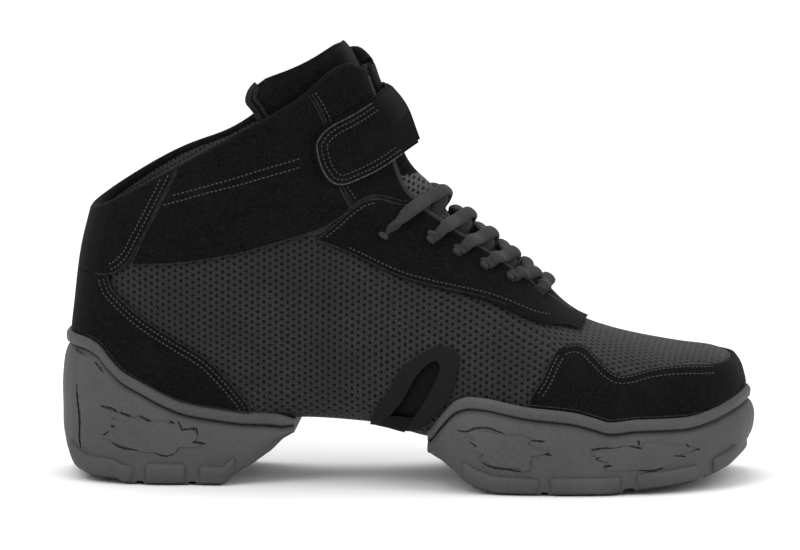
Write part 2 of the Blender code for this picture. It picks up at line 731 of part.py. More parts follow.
def make_insole(made):
    """Foot bed inside, on the turned-in edge of the upper."""
    rows = section_rows(*INSOLE_ROWS)
    first = SIDE_COLUMNS - 1
    last = SIDE_COLUMNS + BASE_COLUMNS + 1

    def bed(extra):
        grid = surface(rows, columns, lambda u: -(wall_thickness(u) + GAP + extra))[:, first:last + 1]
        grid[:, 0] += INSOLE_EDGE * (grid[:, 1] - grid[:, 0])
        grid[:, -1] += INSOLE_EDGE * (grid[:, -2] - grid[:, -1])
        return grid

    thing = slab("insole", bed(0.0), bed(INSOLE))
    finish(thing, made)
    return thing


def make_tongue(made):
    """Padded tongue under the throat, its wings inside the collar, the outer one raised."""
    def across(u):
        points, run = section(u)
        half = BALL_WIDTH * float(spline(*zip(*TONGUE_SHAPE), u))
        side = half * np.linspace(0.0, 1.0, TONGUE_COLUMNS + 1)
        return np.concatenate([(run[0] + side)[::-1], (run[-1] - side)[1:]])

    shares = np.linspace(-1.0, 1.0, 2 * TONGUE_COLUMNS + 1)
    high = smooth((np.array(TONGUE_ROWS) - TILT_ROW) / (TONGUE_ROWS[-1] - TILT_ROW))

    def sheet(extra):
        grid = surface(TONGUE_ROWS, across, lambda u: -(wall_thickness(u) + TONGUE_GAP + extra))[:, ::-1]
        grid[:, :, 2] += TONGUE_TILT * high[:, None] * shares[None, :]
        return grid

    thing = slab("tongue", sheet(0.0), sheet(TONGUE))
    finish(thing, made)
    return thing


def prism(outline, side, margin=0.0):
    """Bar across the shoe with a side-view outline, on one side of it or on both."""
    reach_out = BALL_WIDTH
    low = 0.0 if side == "medial" else -reach_out
    high = 0.0 if side == "lateral" else reach_out
    plan = [(at(along), float(height(up))) for along, up in outline]
    if margin:
        plan = shrink(plan, margin)
    count = len(plan)
    points = [(x, y, z) for y in (low, high) for x, z in plan]
    faces = [tuple(range(count)), tuple(range(2 * count - 1, count - 1, -1))]
    faces += [(k, (k + 1) % count, (k + 1) % count + count, k + count) for k in range(count)]
    thing = new_object("prism", points, faces)
    fix_facing(thing)
    return thing


def shrink(plan, margin):
    """Outline moved inwards by a margin at every corner."""
    area = sum(a[0] * b[1] - b[0] * a[1] for a, b in zip(plan, plan[1:] + plan[:1]))
    turn = 1.0 if area > 0 else -1.0
    moved = []
    for before, here, after in zip(plan[-1:] + plan[:-1], plan, plan[1:] + plan[:1]):
        first = (Vector(here) - Vector(before)).normalized()
        second = (Vector(after) - Vector(here)).normalized()
        inward = Vector((-first.y - second.y, first.x + second.x)).normalized() * turn
        bend = max(0.5, math.sqrt((1 + first.dot(second)) / 2))
        moved.append(tuple(Vector(here) + inward * margin / bend))
    return moved


def above_rim(edge, rim):
    """Closed outline between an edge and the rim of a rubber unit, from its last point back."""
    first = edge[0][0]
    last = edge[-1][0]
    lift = RIM_GAP / COLLAR_HEIGHT
    back = []
    for k in range(RIM_STEPS + 1):
        along = last + (first - last) * k / RIM_STEPS
        back.append((along, float(spline(*zip(*rim), along)) + lift))
    return tuple(edge) + tuple(back)


def overlay(name, outline, side, rows, made, low=None, high=None, margin=0.0, runs=columns):
    """Panel over the upper, cut from the upper's own surface by a side-view outline."""
    low = GAP if low is None else low
    high = GAP + OVERLAY if high is None else high
    steps = section_rows(*rows)
    inner = surface(steps, runs, lambda u: low)
    outer = surface(steps, runs, lambda u: high)
    if rows[0] == 0.0:
        inner = with_toe(inner, low)
        outer = with_toe(outer, high)
    thing = slab(name, outer, inner)
    boolean(thing, "INTERSECT", prism(outline, side, margin))
    thing.data.validate()
    finish(thing, made)
    return thing


def over_front(u):
    """Running lengths of columns that cross the front of the ankle from side to side."""
    run = section(u)[1]
    sides = columns(u)
    lateral = sides[:FRONT_COLUMNS]
    medial = sides[-FRONT_COLUMNS:]
    return np.concatenate([medial, [run[-1]], lateral])


def on_side(tree, along, up, side):
    """Point of the upper's outside on one side, and its outward direction."""
    sign = -1.0 if side == "lateral" else 1.0
    origin = Vector((at(along), sign * BALL_WIDTH, float(height(up))))
    spot, direction = tree.ray_cast(origin, Vector((0.0, -sign, 0.0)))[:2]
    return spot, direction.normalized()


def ring(name, profile, spot, direction, sides):
    """Solid turned round a direction, from its closed profile of radius and height."""
    turn = direction.to_track_quat("Z", "Y")
    points = []
    for k in range(sides):
        angle = 2 * math.pi * k / sides
        for radius, rise in profile:
            points.append(spot + turn @ Vector((radius * math.sin(angle), radius * math.cos(angle), rise)))
    count = len(profile)
    faces = []
    for k in range(sides):
        other = (k + 1) % sides
        for n in range(count):
            m = (n + 1) % count
            faces.append((k * count + n, other * count + n, other * count + m, k * count + m))
    thing = new_object(name, points, faces)
    fix_facing(thing)
    return thing


def eyelet_bores(tree):
    """Pins that cut every eyelet's hole."""
    radius = EYELET_BORE + EYELET_TUBE + GAP
    work = bmesh.new()
    for along, up in EYELETS:
        for side in ("lateral", "medial"):
            spot, direction = on_side(tree, along, up, side)
            turn = direction.to_track_quat("Z", "Y").to_matrix().to_4x4()
            turn.translation = spot
            bmesh.ops.create_cone(
                work, cap_ends=True, segments=EYELET_SIDES, radius1=radius, radius2=radius,
                depth=4 * (WALL + OVERLAY), matrix=turn,
            )
    mesh = bpy.data.meshes.new("bores")
    work.to_mesh(mesh)
    work.free()
    thing = bpy.data.objects.new("bores", mesh)
    bpy.context.scene.collection.objects.link(thing)
    return thing


def make_eyelets(tree, made):
    """Small turned rings with a tube in each hole of the eyestay."""
    seat = 2 * GAP + OVERLAY + EYELET_LIFT
    profile = (
        (EYELET_BORE, seat + EYELET_HEAD),
        (EYELET_BORE, seat - EYELET_DEPTH),
        (EYELET_BORE + EYELET_TUBE, seat - EYELET_DEPTH),
        (EYELET_BORE + EYELET_TUBE, seat),
        (EYELET_BORE + EYELET_TUBE + EYELET_FLANGE, seat),
    )
    for number, (along, up) in enumerate(EYELETS, 1):
        for side in ("lateral", "medial"):
            spot, direction = on_side(tree, along, up, side)
            thing = ring(f"eyelet_{side}_{number}", profile, spot, direction, EYELET_SIDES)
            finish(thing, made)


def lace_path(tree, first, second, last):
    """Centre line of a lace from one eyelet over the tongue, to a share of its way to another."""
    start = on_side(tree, *first)[0]
    end = on_side(tree, *second)[0]
    lift = 5 * GAP + OVERLAY + EYELET_LIFT + EYELET_HEAD + LACE_RADIUS
    up = Vector((LACING_SLOPE[0], 0.0, LACING_SLOPE[1]))
    points = []
    for k in range(LACE_STEPS + 1):
        t = last * k / LACE_STEPS
        spot, out = tree.ray_cast(start.lerp(end, t) - up * LACE_REACH, up)[:2]
        edge = min(t, 1.0 - t) if last == 1.0 else t
        drop = float(smooth((edge - LACE_EDGE) / (0.5 - LACE_EDGE)))
        points.append(spot + out * (lift + drop * (LACE_RISE - lift)))
    return points


def tube(points, radius, sides):
    """Round bar along the points, with flat ends."""
    curve = bpy.data.curves.new("lace", "CURVE")
    curve.dimensions = "3D"
    curve.bevel_depth = radius
    curve.bevel_resolution = (sides - 4) // 2
    curve.use_fill_caps = True
    line = curve.splines.new("POLY")
    line.points.add(len(points) - 1)
    for spot, point in zip(line.points, points):
        spot.co = (*point, 1.0)
    guide = bpy.data.objects.new("guide", curve)
    bpy.context.scene.collection.objects.link(guide)
    bpy.context.view_layer.update()
    mesh = bpy.data.meshes.new_from_object(guide.evaluated_get(bpy.context.evaluated_depsgraph_get()))
    bpy.data.objects.remove(guide)
    thing = bpy.data.objects.new("laces", mesh)
    bpy.context.scene.collection.objects.link(thing)
    work = bmesh.new()
    work.from_mesh(mesh)
    bmesh.ops.remove_doubles(work, verts=work.verts, dist=1e-6)
    bmesh.ops.recalc_face_normals(work, faces=work.faces)
    work.to_mesh(mesh)
    work.free()
    return thing


def make_laces(tree, made):
    """A crossing of two laces at each pair of eyelets, and a bar across the lowest pair."""
    lowest = EYELETS[-1]
    bar = tube(lace_path(tree, (*lowest, "lateral"), (*lowest, "medial"), 1.0), LACE_RADIUS, LACE_SIDES)
    bar.name = "lace_bar"
    finish(bar, made)
    for number, (pair, below) in enumerate(zip(EYELETS, EYELETS[1:]), 1):
        sides = [("lateral", "medial"), ("medial", "lateral")]
        first, second = [
            tube(lace_path(tree, (*pair, side), (*below, other), LACE_END), LACE_RADIUS, LACE_SIDES)
            for side, other in sides
        ]
        boolean(first, "UNION", second)
        first.name = f"lace_crossing_{number}"
        finish(first, made)


def make_overlays(tree, suede, smooth_cloth, stretch):
    """Suede panels, the trim and gusset of the arch slots, and the ankle strap."""
    toe_edge = above_rim(TOE_CAP_EDGE, FORE_RIM)
    counter_edge = above_rim(COUNTER_EDGE, HEEL_RIM)
    overlay("toe_cap", toe_edge, "both", (0.0, 9.0), suede)
    overlay("heel_counter", counter_edge, "both", (10.5, 18.0), suede)
    overlay("back_panel", BACK_PANEL, "both", (12.0, 18.0), suede)
    eyestay = overlay("eyestay", EYESTAY, "both", (6.0, 15.75), suede)
    boolean(eyestay, "DIFFERENCE", eyelet_bores(tree))
    finish(eyestay, suede)
    for side in ("lateral", "medial"):
        overlay(f"collar_panel_{side}", COLLAR_PANEL, side, (11.25, 18.0), suede)
        overlay(f"collar_ear_{side}", COLLAR_EAR, side, (11.25, 18.0), suede)
        trim = overlay(f"arch_trim_{side}", ARCH_TRIM, side, (8.25, 12.0), smooth_cloth, high=GAP + TRIM)
        boolean(trim, "DIFFERENCE", prism(ARCH_SLOT, side))
        finish(trim, smooth_cloth)
        overlay(
            f"arch_gusset_{side}", ARCH_SLOT, side, (8.25, 12.0), stretch,
            low=-WALL, high=GUSSET - WALL, margin=GAP,
        )
    low = 2 * GAP + OVERLAY
    overlay(
        "ankle_strap", STRAP_EDGE, "both", (12.0, 18.0), suede,
        low=low, high=low + STRAP, runs=over_front,
    )


def main():
    """Clear the scene and build every piece."""
    for thing in list(bpy.data.objects):
        bpy.data.objects.remove(thing)
    knit = material("knit", (0.03, 0.03, 0.032), 0.85)
    rubber = material("rubber", (0.12, 0.12, 0.12), 0.6)
    foam = material("foam", (0.05, 0.05, 0.05), 0.9)
    guide = hull("last", 0.0)
    work = bmesh.new()
    work.from_mesh(guide.data)
    tree = BVHTree.FromBMesh(work)
    work.free()
    bpy.data.objects.remove(guide)
    heel = {
        "name": "outsole_heel", "turn": HEEL_TURN, "end": HEEL_END, "centre": 0.0,
        "rim": HEEL_RIM, "floor": HEEL_FLOOR, "lugs": HEEL_LUGS, "treads": HEEL_TREADS,
        "turns": (0.0, 0.2, 0.4, 0.6, 0.8, 1.0, 1.2, 1.38, 1.545, 1.64, 1.82, 2.0),
    }
    fore = {
        "name": "outsole_forefoot", "turn": TOE_TURN, "end": FORE_END, "centre": 0.033 * BALL_WIDTH,
        "rim": FORE_RIM, "floor": FORE_FLOOR, "lugs": FORE_LUGS, "treads": FORE_TREADS,
        "turns": (0.0, 0.2, 0.4, 0.6, 0.8, 1.0, 1.15, 1.3, 1.48, 1.66, 1.8, 1.9, 2.0),
    }
    make_unit(heel, tree, rubber)
    make_unit(fore, tree, rubber)
    make_upper(knit, tree)
    make_insole(foam)
    make_tongue(foam)
    suede = material("suede", (0.012, 0.012, 0.013), 0.95)
    smooth_cloth = material("smooth_cloth", (0.02, 0.02, 0.021), 0.8)
    stretch = material("stretch", (0.006, 0.006, 0.006), 0.9)
    steel = material("steel", (0.35, 0.35, 0.36), 0.4)
    braid = material("braid", (0.03, 0.03, 0.03), 0.9)
    make_overlays(tree, suede, smooth_cloth, stretch)
    make_eyelets(tree, steel)
    make_laces(tree, braid)


main()
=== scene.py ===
"""Dance sneaker: the look of every piece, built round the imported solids."""
import math

import bmesh
import bpy
import numpy as np
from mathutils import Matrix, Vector
from mathutils.bvhtree import BVHTree


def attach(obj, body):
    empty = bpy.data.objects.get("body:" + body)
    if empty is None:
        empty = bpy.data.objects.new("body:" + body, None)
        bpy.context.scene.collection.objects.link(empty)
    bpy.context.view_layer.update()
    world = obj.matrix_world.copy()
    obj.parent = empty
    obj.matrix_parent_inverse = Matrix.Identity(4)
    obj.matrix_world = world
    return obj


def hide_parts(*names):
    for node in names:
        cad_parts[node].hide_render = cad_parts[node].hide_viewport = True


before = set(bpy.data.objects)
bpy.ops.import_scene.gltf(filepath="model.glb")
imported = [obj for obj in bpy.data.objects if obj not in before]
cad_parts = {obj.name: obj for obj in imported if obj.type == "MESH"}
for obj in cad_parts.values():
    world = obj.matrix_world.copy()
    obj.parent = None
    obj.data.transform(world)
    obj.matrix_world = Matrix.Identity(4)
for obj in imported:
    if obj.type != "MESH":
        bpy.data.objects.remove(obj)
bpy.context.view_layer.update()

LENGTH = 0.264
BALL_WIDTH = 0.0915
HEEL_WIDTH = 0.0665
SOLE_HEIGHT = 0.018
INSTEP_HEIGHT = 0.105
COLLAR_HEIGHT = 0.166

SIDES = {"lateral": -1.0, "medial": 1.0}

# Step along a line on the upper, distances of the stitch rows from a panel's edge, radius of the
# binding, points round the collar, and how far down a face must look to be darkened as painted
# shade of the underside
LINE_STEP = 0.0008
SEAM_MARGINS = (0.0016, 0.0036)
BINDING_RADIUS = 0.0017
COLLAR_POINTS = 260
SHADE_UNDER_FACING = 0.75

# Camera of the photograph: degrees it is turned and tilted, and metres per pixel
CAMERA_TURN = 4.5
CAMERA_TILT = 9.0
PIXEL = 0.0003942

# Walls and layers
GAP = 0.0003
WALL = 0.0024
COLLAR_WALL = 0.0034
OVERLAY = 0.0012
TRIM = 0.0009
GUSSET = 0.0011
INSOLE = 0.0030
TONGUE = 0.0042
TONGUE_GAP = 0.0019
TONGUE_TILT = 0.0060
LASTING_MARGIN = 0.010
STRAP = 0.0020
RIM_GAP = 0.0008
LACE_RADIUS = 0.0022
EYELET_BORE = 0.0018
EYELET_TUBE = 0.0005
EYELET_FLANGE = 0.0009
EYELET_HEAD = 0.0006
EYELET_DEPTH = 0.0016

# Rubber units: how far each step of the side stands out from the upper, and how deep it lies
BEAD_OUT = 0.0031
BEAD_HEIGHT = 0.0044
GROOVE_OUT = 0.0021
GROOVE_HEIGHT = 0.0010
SIDE_OUT = 0.0045
FOOT_OUT = 0.0030
FOOT_RADIUS = 0.0022
UNIT_END = 0.0026
LUG_OUT = 0.0013
LUG_HEIGHT = 0.0068
LUG_LIFT = 0.0006
LUG_ROOT = 0.3
LUG_CORNER = 0.12
TREAD_WIDTH = 0.0032
TREAD_DEPTH = 0.0016
CUP_INSET = 0.0016
SIGHT = 0.150
NORMAL_STEP = 0.002

# Shape shares: where the origin lies along the length, and which shares of the collar height the
# sole and the instep stand at
BALL_AT = 0.7727
SOLE_SHARE = 0.108
INSTEP_SHARE = 0.6325
HEIGHT_LEVELS = (
    (0.0, 0.0),
    (SOLE_SHARE, SOLE_HEIGHT),
    (INSTEP_SHARE, INSTEP_HEIGHT),
    (1.0, COLLAR_HEIGHT),
    (1.5, 1.5 * COLLAR_HEIGHT),
)

# Sections from the toe to the collar, and two above it for the tongue. Each runs in a plane from
# its base point (under or behind the foot) to its top point (over or before it). Along is a share
# of LENGTH from the heel, up a share of COLLAR_HEIGHT, and the rest are shares of the local width;
# peak is where the section is widest, low and high are the roundness of its two halves.
SECTION_COLUMNS = (
    "top_along", "top_up", "base_along", "base_up",
    "centre", "lateral", "medial", "peak", "low", "high", "throat",
)
SECTIONS = (
    (0.9970, 0.238, 0.9955, 0.196, 0.066, 0.077, 0.077, 0.45, 2.2, 2.2, 0.0),
    (0.9900, 0.268, 0.9830, 0.163, 0.066, 0.197, 0.186, 0.42, 2.6, 2.4, 0.0),
    (0.9735, 0.297, 0.9620, 0.140, 0.060, 0.295, 0.268, 0.40, 3.0, 2.6, 0.0),
    (0.9470, 0.311, 0.9355, 0.123, 0.055, 0.382, 0.339, 0.38, 3.5, 2.6, 0.0),
    (0.9050, 0.319, 0.8980, 0.108, 0.044, 0.442, 0.399, 0.36, 4.0, 2.5, 0.0),
    (0.8600, 0.332, 0.8485, 0.096, 0.033, 0.486, 0.448, 0.35, 4.0, 2.3, 0.0),
    (0.8105, 0.351, 0.7915, 0.090, 0.022, 0.513, 0.473, 0.35, 4.0, 2.1, 0.0),
    (0.7500, 0.387, 0.7195, 0.090, 0.011, 0.521, 0.479, 0.33, 4.0, 2.0, 0.0),
    (0.6875, 0.474, 0.6290, 0.098, 0.011, 0.510, 0.444, 0.30, 4.0, 1.9, 0.100),
    (0.6210, 0.569, 0.5380, 0.112, 0.012, 0.498, 0.400, 0.28, 4.0, 1.85, 0.142),
    (0.5680, 0.644, 0.4545, 0.142, 0.012, 0.485, 0.375, 0.28, 4.0, 1.9, 0.164),
    (0.5320, 0.708, 0.3485, 0.150, 0.007, 0.487, 0.405, 0.30, 4.0, 2.0, 0.175),
    (0.5150, 0.762, 0.2045, 0.106, 0.0, 0.496, 0.466, 0.32, 3.6, 2.15, 0.175),
    (0.5020, 0.813, 0.0680, 0.114, 0.0, 0.504, 0.489, 0.36, 3.0, 2.3, 0.175),
    (0.4925, 0.856, 0.0115, 0.196, 0.0, 0.504, 0.496, 0.40, 2.6, 2.45, 0.170),
    (0.4830, 0.895, 0.0010, 0.313, 0.0, 0.504, 0.496, 0.42, 2.4, 2.6, 0.164),
    (0.4735, 0.934, 0.0070, 0.422, 0.0, 0.511, 0.504, 0.42, 2.4, 2.6, 0.164),
    (0.4620, 0.973, 0.0150, 0.530, 0.0, 0.519, 0.511, 0.42, 2.4, 2.6, 0.164),
    (0.4470, 1.009, 0.0320, 0.646, 0.0, 0.526, 0.519, 0.42, 2.4, 2.6, 0.164),
    (0.4220, 1.039, 0.0420, 0.711, 0.0, 0.526, 0.519, 0.42, 2.4, 2.6, 0.164),
    (0.3940, 1.063, 0.0530, 0.783, 0.0, 0.520, 0.513, 0.42, 2.4, 2.6, 0.164),
)
TOE_POINT = (1.0, 0.216, 0.066)
THROAT_ROW = 7.0
PAD_ROW = 14.0
TILT_ROW = 16.0
COLLAR_ROW = 18.0

# The collar's front corners rise over its plane and are rounded off at the front
EAR_RISE = 0.0042
EAR_AT = 0.402
EAR_SPAN = 0.036
EAR_DROP = 0.0095
EAR_DROP_FROM = 0.415
EAR_DROP_TO = 0.465

# The inner side of the collar is lower half-way along
DIP = 0.004
DIP_AT = 0.235
DIP_SPAN = 0.062


def shares(*values):
    """Points of an outline, along share and height share, from their numbers in thousandths."""
    return tuple((along / 1000, up / 1000) for along, up in zip(values[::2], values[1::2]))


# Upper edge of each rubber unit and its underside, along share against height share
HEEL_RIM = shares(
    0, 346, 30, 343, 50, 330, 67, 298, 85, 269, 110, 245, 140, 219, 174, 197, 220, 184, 266, 175, 311, 171,
    339, 160,
)
HEEL_FLOOR = shares(
    -19, 104, -10, 60, 8, 24, 30, 10, 70, 10, 83, 0, 232, 0, 250, 28, 277, 52, 305, 84, 322, 112, 339, 128,
)
FORE_RIM = shares(
    540, 140, 549, 156, 563, 186, 586, 223, 606, 232, 628, 230, 662, 220, 693, 211, 727, 206, 760, 200,
    791, 187, 818, 175, 856, 180, 919, 179, 958, 190, 985, 208, 1000, 221,
)
FORE_FLOOR = shares(
    540, 92, 563, 78, 580, 56, 597, 32, 614, 14, 645, 0, 818, 0, 841, 7, 903, 15, 958, 28, 985, 46, 1005,
    72, 1014, 100,
)
HEEL_TURN = 0.121
HEEL_END = 0.339
TOE_TURN = 0.856
FORE_END = 0.541

# Lugs on the sides of the units: turn 0 to 1 rounds the tip and 1 to 2 runs along the side; rise is
# the height of each end of the lug as a share of LUG_HEIGHT
HEEL_LUGS = (
    (0.31, 0.89, 1.35, 1.10),
    (0.98, 1.26, 1.25, 1.25),
    (1.35, 1.60, 1.15, 1.00),
)
FORE_LUGS = (
    (0.30, 0.53, 0.90, 0.95),
    (0.64, 1.00, 0.95, 1.00),
    (1.07, 1.41, 1.05, 1.05),
    (1.46, 1.83, 1.00, 1.15),
)
HEEL_TREADS = (0.108, 0.187)
FORE_TREADS = (0.719, 0.843, 0.947)

# Outlines of the overlays, seen from the side: along share against height share
TOE_CAP_EDGE = shares(
    696, 222, 704, 246, 713, 267, 725, 310, 736, 336, 752, 346, 773, 340, 791, 319, 812, 292, 827, 280,
    843, 281, 872, 290, 915, 294, 961, 291, 990, 290, 1040, 290,
)
COUNTER_EDGE = shares(
    -40, 497, 60, 497, 66, 466, 84, 436, 108, 404, 157, 354, 209, 303, 234, 264, 252, 232, 272, 186
)
BACK_PANEL = shares(-40, 503, 68, 503, 92, 535, 110, 588, 127, 642, 147, 706, 163, 766, 170, 850, -40, 850)
COLLAR_PANEL = shares(
    97, 528, 170, 536, 245, 556, 318, 588, 372, 615, 401, 638, 421, 664, 402, 724, 390, 800, 380, 874, 369,
    913, 350, 960, 200, 950, 174, 850, 166, 766, 150, 706, 130, 642, 113, 588,
)
COLLAR_EAR = shares(
    426, 672, 407, 724, 395, 800, 385, 874, 374, 913, 355, 965, 400, 1080, 560, 1080, 560, 680, 500, 672,
    481, 682, 458, 692, 440, 687,
)
EYESTAY = shares(
    764, 372, 743, 384, 708, 396, 685, 410, 660, 429, 623, 452, 587, 467, 542, 484, 497, 505, 452, 536,
    415, 564, 372, 591, 402, 631, 424, 662, 440, 678, 458, 683, 481, 672, 497, 664, 560, 664, 680, 560,
    780, 430,
)
ARCH_SLOT = shares(482, 172, 503, 215, 524, 274, 545, 308, 555, 313, 560, 301, 550, 256, 538, 217, 520, 172)
ARCH_TRIM = shares(
    526, 170, 554, 184, 566, 206, 577, 237, 586, 289, 588, 328, 576, 344, 555, 346, 530, 327, 503, 294,
    482, 238, 465, 199, 450, 170, 478, 164,
)
STRAP_EDGE = shares(
    371, 803, 370, 824, 376, 843, 388, 862, 417, 886, 447, 912, 475, 934, 560, 1000, 600, 870, 515, 806,
    490, 786, 460, 757, 430, 736, 408, 725, 394, 730, 381, 755,
)

# Eyelets from the top down, along share against height share, the same on both sides
EYELETS = shares(473, 598, 541, 584, 580, 553, 620, 518, 658, 486, 697, 449)
LACING_UP = Vector((0.587, 0.0, 0.810))

# Tongue: row of the sections against its half width, as a share of the ball width
TONGUE_SHAPE = (
    (7.2, 0.12), (8.0, 0.22), (9.0, 0.28), (11.0, 0.32), (13.0, 0.38), (15.0, 0.50),
    (16.5, 0.66), (18.0, 0.755), (18.5, 0.755), (18.9, 0.715), (19.1, 0.665), (19.2, 0.615),
)
TONGUE_ROWS = (7.2, 8.0, 9.0, 10.0, 11.0, 12.2, 13.4, 14.8, 16.2, 17.4, 18.4, 18.9, 19.2)

# Rows of the sections that the insole spans
INSOLE_ROWS = (1.5, 13.5)

# How far below the eyelets a lace looks for the tongue
LACE_REACH = 0.012
LACE_LIFT = OVERLAY + 2 * GAP + EYELET_HEAD + 0.9 * LACE_RADIUS

# Counts of the smooth surfaces
SECTION_STEP = 0.15
RIM_ROW = 17.85
BASE_COLUMNS = 8
SIDE_COLUMNS = 34
FRONT_COLUMNS = 26
RIM_STEPS = 60
UNDER_COLUMNS = 14
RING_POINTS = 361

# Soft folds of the upper: side, both ends as along and up shares, rise and spread
CREASES = (
    (-1, (0.235, 0.900), (0.300, 0.780), -0.0010, 0.0050),
    (-1, (0.190, 0.860), (0.270, 0.700), 0.0007, 0.0055),
    (-1, (0.500, 0.430), (0.640, 0.330), -0.0008, 0.0060),
    (-1, (0.590, 0.400), (0.690, 0.290), 0.0006, 0.0060),
    (-1, (0.290, 0.520), (0.420, 0.470), -0.0006, 0.0065),
    (1, (0.220, 0.900), (0.300, 0.760), -0.0010, 0.0050),
    (1, (0.520, 0.430), (0.660, 0.320), -0.0008, 0.0060),
    (1, (0.280, 0.520), (0.400, 0.480), 0.0006, 0.0065),
)
BASE_SHARE = 0.35
WELD = 0.00001


def smooth(value):
    """Soft step from 0 to 1."""
    value = np.clip(value, 0.0, 1.0)
    return value * value * (3.0 - 2.0 * value)


def height(up):
    """Height over the floor of a share of the collar height."""
    shares, levels = zip(*HEIGHT_LEVELS)
    return np.interp(up, shares, levels)


def at(along):
    """X of a share of the length, measured from the heel."""
    return (along - BALL_AT) * LENGTH


def local_width(along):
    """Width that the shares of a section follow: the heel's, then the ball's."""
    return HEEL_WIDTH + (BALL_WIDTH - HEEL_WIDTH) * smooth((along - 0.2) / 0.5)


def spline(keys, values, where):
    """Smooth curve through the values at rising keys, flat slopes kept at turning points."""
    keys = np.asarray(keys, float)
    values = np.asarray(values, float)
    step = np.diff(keys)
    slope = np.diff(values) / step
    tangent = np.empty_like(values)
    tangent[0] = slope[0]
    tangent[-1] = slope[-1]
    product = slope[:-1] * slope[1:]
    total = slope[:-1] + slope[1:]
    tangent[1:-1] = np.where(product > 0, 2.0 * product / np.where(product > 0, total, 1.0), 0.0)
    where = np.clip(where, keys[0], keys[-1])
    index = np.clip(np.searchsorted(keys, where, side="right") - 1, 0, len(keys) - 2)
    t = (where - keys[index]) / step[index]
    h = step[index]
    return (
        (1 + 2 * t) * (1 - t) ** 2 * values[index]
        + t * (1 - t) ** 2 * h * tangent[index]
        + t * t * (3 - 2 * t) * values[index + 1]
        + t * t * (t - 1) * h * tangent[index + 1]
    )


def section_row(u):
    """Columns of the section table at row u, read smoothly between the rows."""
    keys = np.arange(len(SECTIONS))
    return {
        name: float(spline(keys, [row[i] for row in SECTIONS], u))
        for i, name in enumerate(SECTION_COLUMNS)
    }


def section(u):
    """Points of the closed section at row u, and their running length from the base.

    They run from the top down the lateral side, across the base and up the medial side.
    """
    row = section_row(u)
    width = local_width(row["base_along"])
    turn = np.linspace(-math.pi, math.pi, RING_POINTS)
    low_half = np.abs(turn) <= math.pi / 2
    power = np.where(low_half, row["low"], row["high"])
    cosine = np.abs(np.cos(turn)) ** (2.0 / power)
    sine = np.abs(np.sin(turn)) ** (2.0 / power)
    half = np.where(turn < 0, -row["lateral"], row["medial"]) * width
    peak = row["peak"]
    share = np.where(low_half, peak * (1 - cosine), peak + (1 - peak) * cosine)
    base = np.array([at(row["base_along"]), 0.0, height(row["base_up"])])
    top = np.array([at(row["top_along"]), 0.0, height(row["top_up"])])
    points = base + share[:, None] * (top - base)
    points[:, 1] = row["centre"] * width + half * sine
    ear = np.exp(-(((points[:, 0] - at(EAR_AT)) / (EAR_SPAN * LENGTH)) ** 2))
    corner = smooth((points[:, 0] - at(EAR_DROP_FROM)) / (at(EAR_DROP_TO) - at(EAR_DROP_FROM)))
    near_collar = smooth((u - PAD_ROW) / (COLLAR_ROW - PAD_ROW))
    inner = smooth(points[:, 1] / (row["medial"] * width))
    dip = np.exp(-(((points[:, 0] - at(DIP_AT)) / (DIP_SPAN * LENGTH)) ** 2)) * inner
    points[:, 2] += (EAR_RISE * ear - EAR_DROP * corner - DIP * dip) * near_collar
    run = np.concatenate([[0.0], np.cumsum(np.linalg.norm(np.diff(points, axis=0), axis=1))])
    return points, run - run[RING_POINTS // 2]


def read(points, run, where):
    """Points of a section at the given running lengths."""
    return np.stack([np.interp(where, run, points[:, axis]) for axis in range(3)], axis=-1)


def columns(u):
    """Running lengths of the upper's columns at row u, from one throat edge to the other."""
    row = section_row(u)
    points, run = section(u)
    width = local_width(row["base_along"])
    throat = row["throat"] * BALL_WIDTH if u > THROAT_ROW else 0.0
    away = np.abs(points[:, 1] - row["centre"] * width)
    quarter = RING_POINTS // 4
    lateral_end = np.interp(throat, away[:quarter], run[:quarter])
    medial_end = np.interp(-throat, -away[-quarter:], run[-quarter:])
    lateral_base = max(row["lateral"] * width - LASTING_MARGIN, BASE_SHARE * row["lateral"] * width)
    medial_base = max(row["medial"] * width - LASTING_MARGIN, BASE_SHARE * row["medial"] * width)
    return np.concatenate([
        np.linspace(lateral_end, -lateral_base, SIDE_COLUMNS, endpoint=False),
        np.linspace(-lateral_base, medial_base, BASE_COLUMNS, endpoint=False),
        np.linspace(medial_base, medial_end, SIDE_COLUMNS + 1),
    ])


def scaled(shares, run):
    """Lengths along a section for shares of its two halves, from -1 to 1."""
    return np.where(shares < 0, -shares * run[0], shares * run[-1])


def normals(u, runs):
    """Outward directions of the surface at row u."""
    before, before_run = section(max(u - 0.03, 0.0))
    after, after_run = section(min(u + 0.03, len(SECTIONS) - 1.0))
    here, here_run = section(u)
    shares = np.where(runs < 0, -runs / here_run[0], runs / here_run[-1])
    forward = read(after, after_run, scaled(shares, after_run))
    forward -= read(before, before_run, scaled(shares, before_run))
    low = np.clip(runs - NORMAL_STEP, here_run[0], here_run[-1])
    high = np.clip(runs + NORMAL_STEP, here_run[0], here_run[-1])
    across = read(here, here_run, high) - read(here, here_run, low)
    at_top = (low == here_run[0]) | (high == here_run[-1])
    across[at_top & (runs < 0)] = (0.0, -1.0, 0.0)
    across[at_top & (runs > 0)] = (0.0, -1.0, 0.0)
    direction = np.cross(forward, across)
    return direction / np.linalg.norm(direction, axis=1)[:, None]


